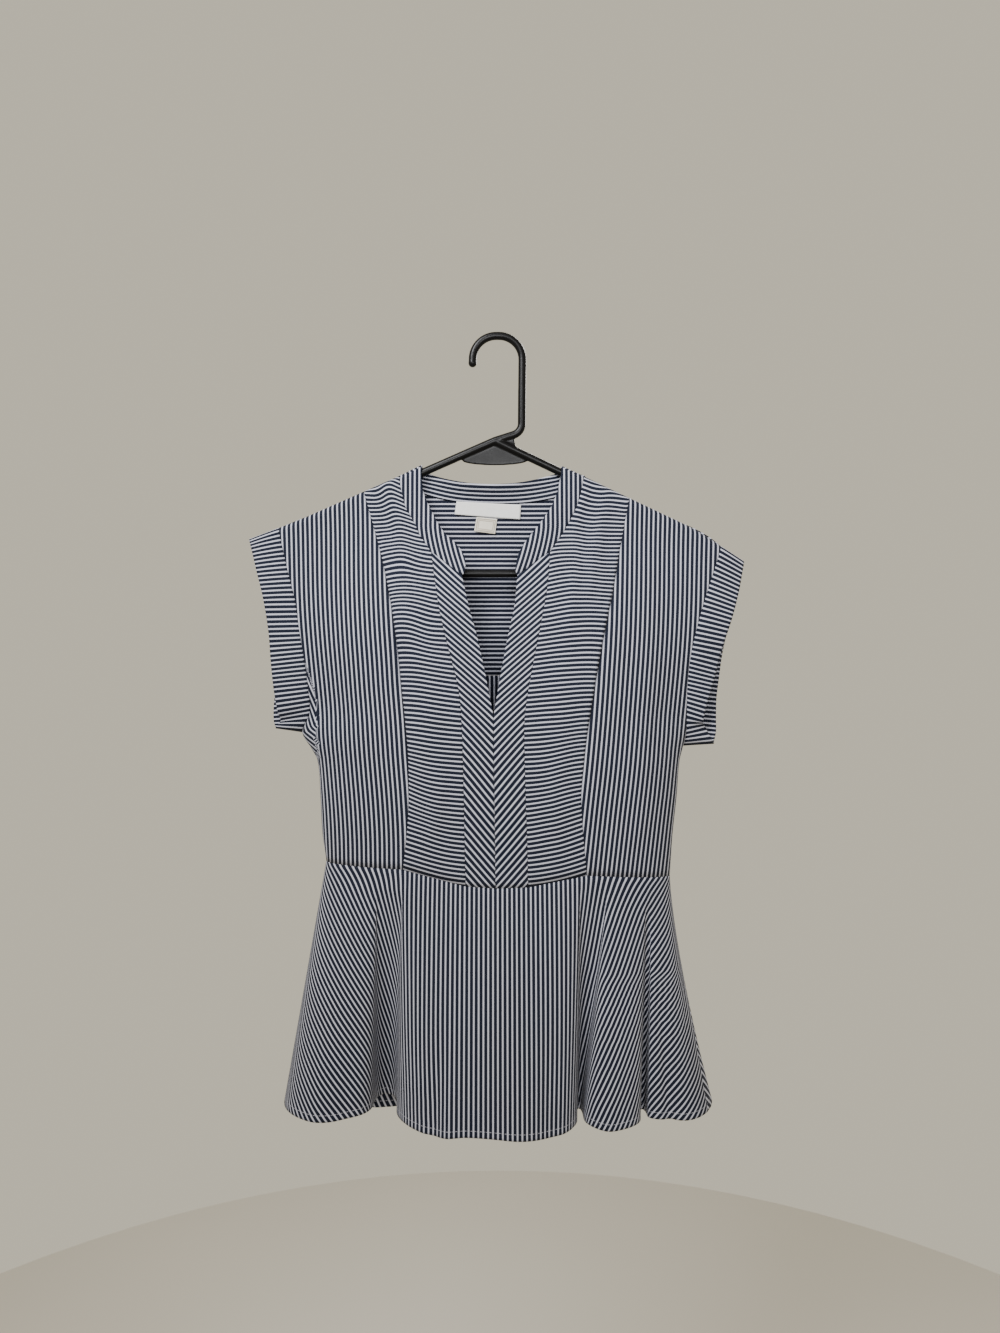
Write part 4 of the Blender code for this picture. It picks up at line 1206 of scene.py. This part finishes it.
Flute = namedtuple("Flute", "left right crest turn valley waist_left waist_right start sweep")
FRONT_FLUTES = (
    Flute(-219, -126, 54, 26, -1, -178, -121, 0.08, 1.0),
    Flute(-102, 80, 74, 36, 16, -95, 83, 0.02, 1.0),
    Flute(86, 143, 60, 38, 22, 112, 151, 0.1, 1.0),
    Flute(150, 222, 48, 38, 0, 156, 179, 0.05, 1.4),
)
BACK_FLUTES = (
    Flute(-219, -134, 42, 13, 8, -178, -127, 0.08, 1.0),
    Flute(-104, -12, 54, 36, 15, -98, -16, 0.2, 1.0),
    Flute(4, 92, 52, 34, 6, -2, 88, 0.12, 1.0),
    Flute(112, 222, 44, 26, 0, 102, 179, 0.06, 1.4),
)
FLUTE_SQUARENESS = 2.6
RIGHT_END_SQUARENESS = 1.9
FLUTE_STEPS = 40
SIDE_SEAM_FORWARD = 34.0
# Level of the hem. Columns: x, front z, back z
HEM = (
    (-219, -783, -783), (-172, -789, -796), (-135, -785, -802), (-115, -784, -801),
    (-62, -796, -801), (-28, -795, -801), (30, -799, -802), (64, -797, -801), (84, -792, -800),
    (109, -795, -799), (147, -790, -798), (188, -790, -794), (222, -787, -787),
)
# Creases that run up from the hem. Columns: x at the hem, x at the top, share where it fades,
# width, height
FRONT_CREASES = (
    (-62, -56, 0.45, 7, -3.0), (-48, -44, 0.5, 9, 2.2), (20, 22, 0.6, 14, 1.5),
    (172, 166, 0.35, 6, -4.0), (-180, -168, 0.4, 12, 2.0), (-150, -146, 0.5, 8, -1.5),
    (52, 50, 0.4, 9, -1.6), (112, 118, 0.45, 8, 1.5),
)
BACK_CREASES = (
    (-170, -150, 0.4, 10, 2.0), (-60, -52, 0.5, 9, -2.0), (-30, -32, 0.6, 7, 1.5),
    (44, 42, 0.45, 10, -2.2), (70, 66, 0.6, 7, 1.4), (160, 142, 0.4, 10, -2.0),
)
# How the cut turns along the waist, in degrees. Columns: x at the waist, turn
FRONT_TURN = (
    (-178, -58), (-155, -51), (-130, -42), (-108, -31), (-94, -16), (-78, -4), (0, 0), (78, 3),
    (94, 10), (112, 27), (135, 36), (156, 40), (170, 43), (179, 46),
)
BACK_TURN = (
    (-178, -35), (-120, -24), (-60, -11), (0, 0), (60, 12), (120, 25), (179, 35),
)
# The stripes' drift close to the waist, by the side seams: mm at the left and right, mm deep
WAIST_DRIFT = (5.0, -12.0)
DRIFT_FROM = 92.0
DRIFT_DEPTH = 36.0
EVEN_MIDDLE = (-86.0, 84.0)
FULLNESS = 1.4
FLAT_END_FROM = 190.0
FLAT_END_FULLNESS = 0.6
PEPLUM_COLUMNS = 280
PEPLUM_ROWS = 84
PEPLUM_WALL = 1.1 * ONE_LAYER
WAIST_COLUMNS = 240
# The hem's turn stands out by the puff, with a dip along the stitches
HEM_TURN = 6.6
HEM_PUFF = 0.35
HEM_PUFF_FADE = 1.2
STITCH_DIP = 0.3
STITCH_DIP_WIDTH = 0.9
# Creases show in full where the flute is this deep
CREASE_DEPTH = 30.0


def flute_line(flutes, column):
    """The hem as seen from above, from left to right, with each point's place at the waist."""
    points = []

    def add(x, depth, envelope, waist_x, start, sweep):
        points.append((x, depth, read(HEM, x, column), envelope, waist_x, start, sweep))

    angles = [math.pi * step / FLUTE_STEPS for step in range(FLUTE_STEPS + 1)]
    for index, flute in enumerate(flutes):
        middle, half = (flute.left + flute.right) / 2, (flute.right - flute.left) / 2
        last = index == len(flutes) - 1
        for angle in angles:
            rising = angle < math.pi / 2
            outer_end = index == 0 if rising else last
            beside = flutes[index - 1] if rising and index else flute
            square = RIGHT_END_SQUARENESS if last and not rising else FLUTE_SQUARENESS
            reach = half * abs(math.cos(angle)) ** (2 / square)
            lift = abs(math.sin(angle)) ** (2 / square)
            x = middle - reach if rising else middle + reach
            waist_x = mix(flute.waist_left, flute.waist_right, (x - flute.left) / (2 * half))
            depth = mix(0.0 if outer_end else beside.turn, flute.crest, lift)
            add(x, depth, depth if outer_end else flute.crest, waist_x, beside.start, flute.sweep)
        if last:
            break
        after = flutes[index + 1]
        for angle in angles[1:-1]:
            share = (1 - math.cos(angle)) / 2
            depth = mix(flute.turn, flute.valley, abs(math.sin(angle)) ** (2 / FLUTE_SQUARENESS))
            add(mix(flute.right, after.left, share), depth, mix(flute.crest, after.crest, share),
                mix(flute.waist_right, after.waist_left, share), flute.start,
                mix(flute.sweep, after.sweep, share))
    return points


def crease_lift(creases, x, v):
    lift = 0.0
    for hem_x, top_x, fades, width, height in creases:
        grown = smooth_step((v - fades) / (1 - fades))
        if grown:
            lift += height * grown * math.exp(-((x - mix(top_x, hem_x, grown)) / width) ** 2)
    return lift


def peplum_row(line, v, bodice_point, creases):
    """The line at share v of the height: flutes grow out of the smooth waist."""
    row = []
    side = 1 if bodice_point is back_point else -1
    for x, depth, hem_z, envelope, waist_x, start, sweep in line:
        waist = bodice_point(waist_x, waist_z(waist_x))
        grown = clamp((v - start) / (1 - start))
        y = mix(waist[1], side * envelope, v) + side * (depth - envelope) * grown
        out = clamp(abs(depth) / CREASE_DEPTH)
        y += side * out * crease_lift(creases, x, v)
        row.append((mix(waist_x, x, v ** sweep), y, mix(waist[2] - SEAM_GAP, hem_z, v)))
    return row


def walk(points, total, distance):
    """The point at a distance along a line of points with these running lengths."""
    index = min(max(bisect_left(total, distance), 1), len(points) - 1)
    share = (distance - total[index - 1]) / (total[index] - total[index - 1])
    return mix_points(points[index - 1], points[index], clamp(share))


def fuller_step(start, end):
    """Distance as if the folds were deeper, which the real ones are."""
    depth = FLAT_END_FULLNESS if start[0] > FLAT_END_FROM else FULLNESS
    return math.hypot(end[0] - start[0], depth * (end[1] - start[1]), end[2] - start[2])


def turned_cut(waist, rows, turns, drift):
    """The cut as parallel curves below the waist, which turns as the table says. The middle keeps
    its width down to the hem; the sides take up the flare."""
    along = lengths(waist, fuller_step)
    angles = [math.radians(read(turns, point[0], 1, straight=True)) for point in waist]
    edge = [(0.0, 0.0)]
    for index in range(1, len(waist)):
        step = along[index] - along[index - 1]
        angle = (angles[index] + angles[index - 1]) / 2
        edge.append((edge[-1][0] + step * math.cos(angle), edge[-1][1] - step * math.sin(angle)))
    centre = min(range(len(waist)), key=lambda index: abs(waist[index][0] - CENTRE_WAIST[0]))
    ends = [min(range(len(waist)), key=lambda index: abs(waist[index][0] - x)) for x in EVEN_MIDDLE]
    cut, drop = [], 0.0
    for down, row in enumerate(rows):
        if down:
            middle = len(row) // 2
            drop += math.dist(rows[down - 1][middle], row[middle])
        flat = [length + drop * (angle - angles[0]) for length, angle in zip(along, angles)]
        folded = lengths(row, fuller_step)
        at = next(index for index in range(1, len(row)) if row[index][0] >= CENTRE_WAIST[0])
        share = (CENTRE_WAIST[0] - row[at - 1][0]) / (row[at][0] - row[at - 1][0])
        front = mix(folded[at - 1], folded[at], share)
        low = front - (flat[centre] - flat[ends[0]])
        high = front + (flat[ends[1]] - flat[centre])
        spots = [(*spot, angle, point[0]) for spot, angle, point in zip(edge, angles, waist)]
        line = []
        for length in folded:
            if length < low:
                spread = flat[ends[0]] * length / low
            elif length > high:
                spread = mix(flat[ends[1]], flat[-1], (length - high) / (folded[-1] - high))
            else:
                spread = flat[centre] + length - front
            x, y, angle, place = walk(spots, flat, spread)
            aside = clamp((abs(place) - DRIFT_FROM) / (WAIST[-1][0] - DRIFT_FROM))
            shift = drift[place > 0] * aside * math.exp(-drop / DRIFT_DEPTH)
            line.append((x - edge[centre][0] + drop * math.sin(angle) + shift,
                         y + drop * math.cos(angle)))
        cut.append(line)
    return cut


def peplum(name, waist, row_at, facing, turns, drift):
    """Rows from the waist to the hem, with the columns at even shares of each."""
    running = lengths(waist)
    shares = [step / PEPLUM_COLUMNS for step in range(PEPLUM_COLUMNS + 1)]
    columns = [walk(waist, running, running[-1] * share) for share in shares]
    grid = [[sewn((x, y, z - SEAM_GAP), 0.0) for x, y, z in columns]]
    for down in range(1, PEPLUM_ROWS + 1):
        v = down / PEPLUM_ROWS
        row = row_at(v)
        total = lengths(row)
        from_waist = v * (WAIST[3][1] - HEM[5][1])
        grid.append([sewn(walk(row, total, total[-1] * share), from_waist) for share in shares])
    cut = turned_cut(columns, grid, turns, drift)
    drop = lengths([row[PEPLUM_COLUMNS // 2] for row in grid])
    hem = []
    for row, length in zip(grid, drop):
        away = drop[-1] - length
        hem.append([(along, away) for along in lengths(row)])
        puff = HEM_PUFF * smooth_step((HEM_TURN - away) / HEM_PUFF_FADE)
        puff -= STITCH_DIP * math.exp(-((away - STITCH_IN) / STITCH_DIP_WIDTH) ** 2)
        for index, (x, y, z) in enumerate(row):
            row[index] = (x, y + facing * puff, z)
    cloth(name, grid, cut, PEPLUM_WALL, facing, hem=hem, finish=HEMMED_COTTON)


front_line = flute_line(FRONT_FLUTES, 1)
back_line = flute_line(BACK_FLUTES, 2)


@cache
def peplum_lines_at(v):
    """Front and back lines; the right side seam lies forward, so the back piece wraps round."""
    front = peplum_row(front_line, v, front_point, FRONT_CREASES)
    back = peplum_row(back_line, v, back_point, BACK_CREASES)
    total = lengths(front)
    seam_at = total[-1] - SIDE_SEAM_FORWARD * v ** 2
    seam = walk(front, total, seam_at)
    kept = [point for point, along in zip(front, total) if along < seam_at - EDGE_LIFT]
    moved = [point for point, along in zip(front, total) if along > seam_at + EDGE_LIFT]
    return kept + [seam], back + moved[::-1] + [seam]


waist_shares = [step / WAIST_COLUMNS for step in range(WAIST_COLUMNS + 1)]
waist_xs = [mix(WAIST[0][0], WAIST[-1][0], closer_at_sides(share)) for share in waist_shares]
front_waist = [front_point(x, waist_z(x)) for x in waist_xs]
back_waist = [back_place(share, 1.0, 1.0) for share in waist_shares]
peplum("peplum_front", front_waist, lambda v: peplum_lines_at(v)[0], -1, FRONT_TURN, WAIST_DRIFT)
peplum("peplum_back", back_waist, lambda v: peplum_lines_at(v)[1], 1, BACK_TURN, (0.0, 0.0))


# The labels inside the back neck: a long woven satin one and, tucked under it, a small cream one
# with a printed frame. Both are left blank and are sewn to the yoke at their upper edges.

MAIN_LABEL = ((-43, -167), (24.5, -170.5), (23.5, -185.5), (-45, -180.5))
SIZE_LABEL = ((-22, -183), (-0.5, -185), (-2.6, -200.5), (-24.6, -198))
LABEL_LIFT = 1.7
LABEL_WALL = 0.4
SATIN = (0.78, 0.78, 0.77)
CREAM = (0.74, 0.70, 0.60)
SATIN_SHADE = 0.86
SATIN_REPEAT = 0.5
SATIN_NOISE = 260.0
SATIN_BUMP = 0.3
FRAME_INK = (0.22, 0.18, 0.13)
# Columns: distance from the edge, strength of the ink
FRAME_LINES = ((1.6, 0.9), (3.2, 0.7))
FRAME_WIDTH = 0.6
LABEL_COLUMNS = 36
LABEL_ROWS = 12
SIZE_LABEL_SPAN = (21.6, 15.2)


def label_satin(name, colour, framed):
    """Woven satin with fine cross threads; framed adds two thin printed lines near the edge."""
    paint = Paint(name, {"Roughness": 0.42, "Sheen Weight": 0.3})
    maths = paint.maths
    cut = paint.add("UVMap", uv_map="cut")[0]
    places = paint.add("SeparateXYZ", ((0, cut),))[:2]
    weave = maths("SINE", maths("MULTIPLY", places[1], math.tau / (SATIN_REPEAT * MM)))
    shade = tuple(SATIN_SHADE * value for value in colour)
    tone = paint.blend(paint.noise(cut, SATIN_NOISE, 4.0), colour, shade)
    if framed:
        gaps = [maths("MINIMUM", place, maths("SUBTRACT", span * MM, place))
                for place, span in zip(places, SIZE_LABEL_SPAN)]
        away = maths("MINIMUM", *gaps)
        for inset, strength in FRAME_LINES:
            near = maths("ABSOLUTE", maths("SUBTRACT", away, inset * MM))
            line = paint.ramp(near, FRAME_WIDTH * MM, FRAME_WIDTH / 2 * MM, strength)
            tone = paint.blend(line, tone, FRAME_INK)
    return paint.finish(tone, weave, SATIN_BUMP, BUMP_DEPTH / 2 * MM)


def label(name, corners, finish, curl):
    top_left, top_right, bottom_right, bottom_left = corners
    width, height = math.dist(top_left, top_right), math.dist(top_left, bottom_left)

    def point(u, v):
        x, z = mix_points(mix_points(top_left, top_right, u), mix_points(bottom_left, bottom_right, u), v)
        bow = curl * v ** 2 * (1 + 0.5 * math.sin(math.tau * u))
        return x, back_point(x, z)[1] - LABEL_LIFT - bow, z

    cloth(name, grid_of(LABEL_ROWS, LABEL_COLUMNS, point),
          grid_of(LABEL_ROWS, LABEL_COLUMNS, lambda u, v: (width * u, height * v)), LABEL_WALL, 1,
          finish=finish)


label("label_main", MAIN_LABEL, label_satin("white_satin", SATIN, framed=False), 0.5)
label("label_size", SIZE_LABEL, label_satin("cream_satin", CREAM, framed=True), 0.9)
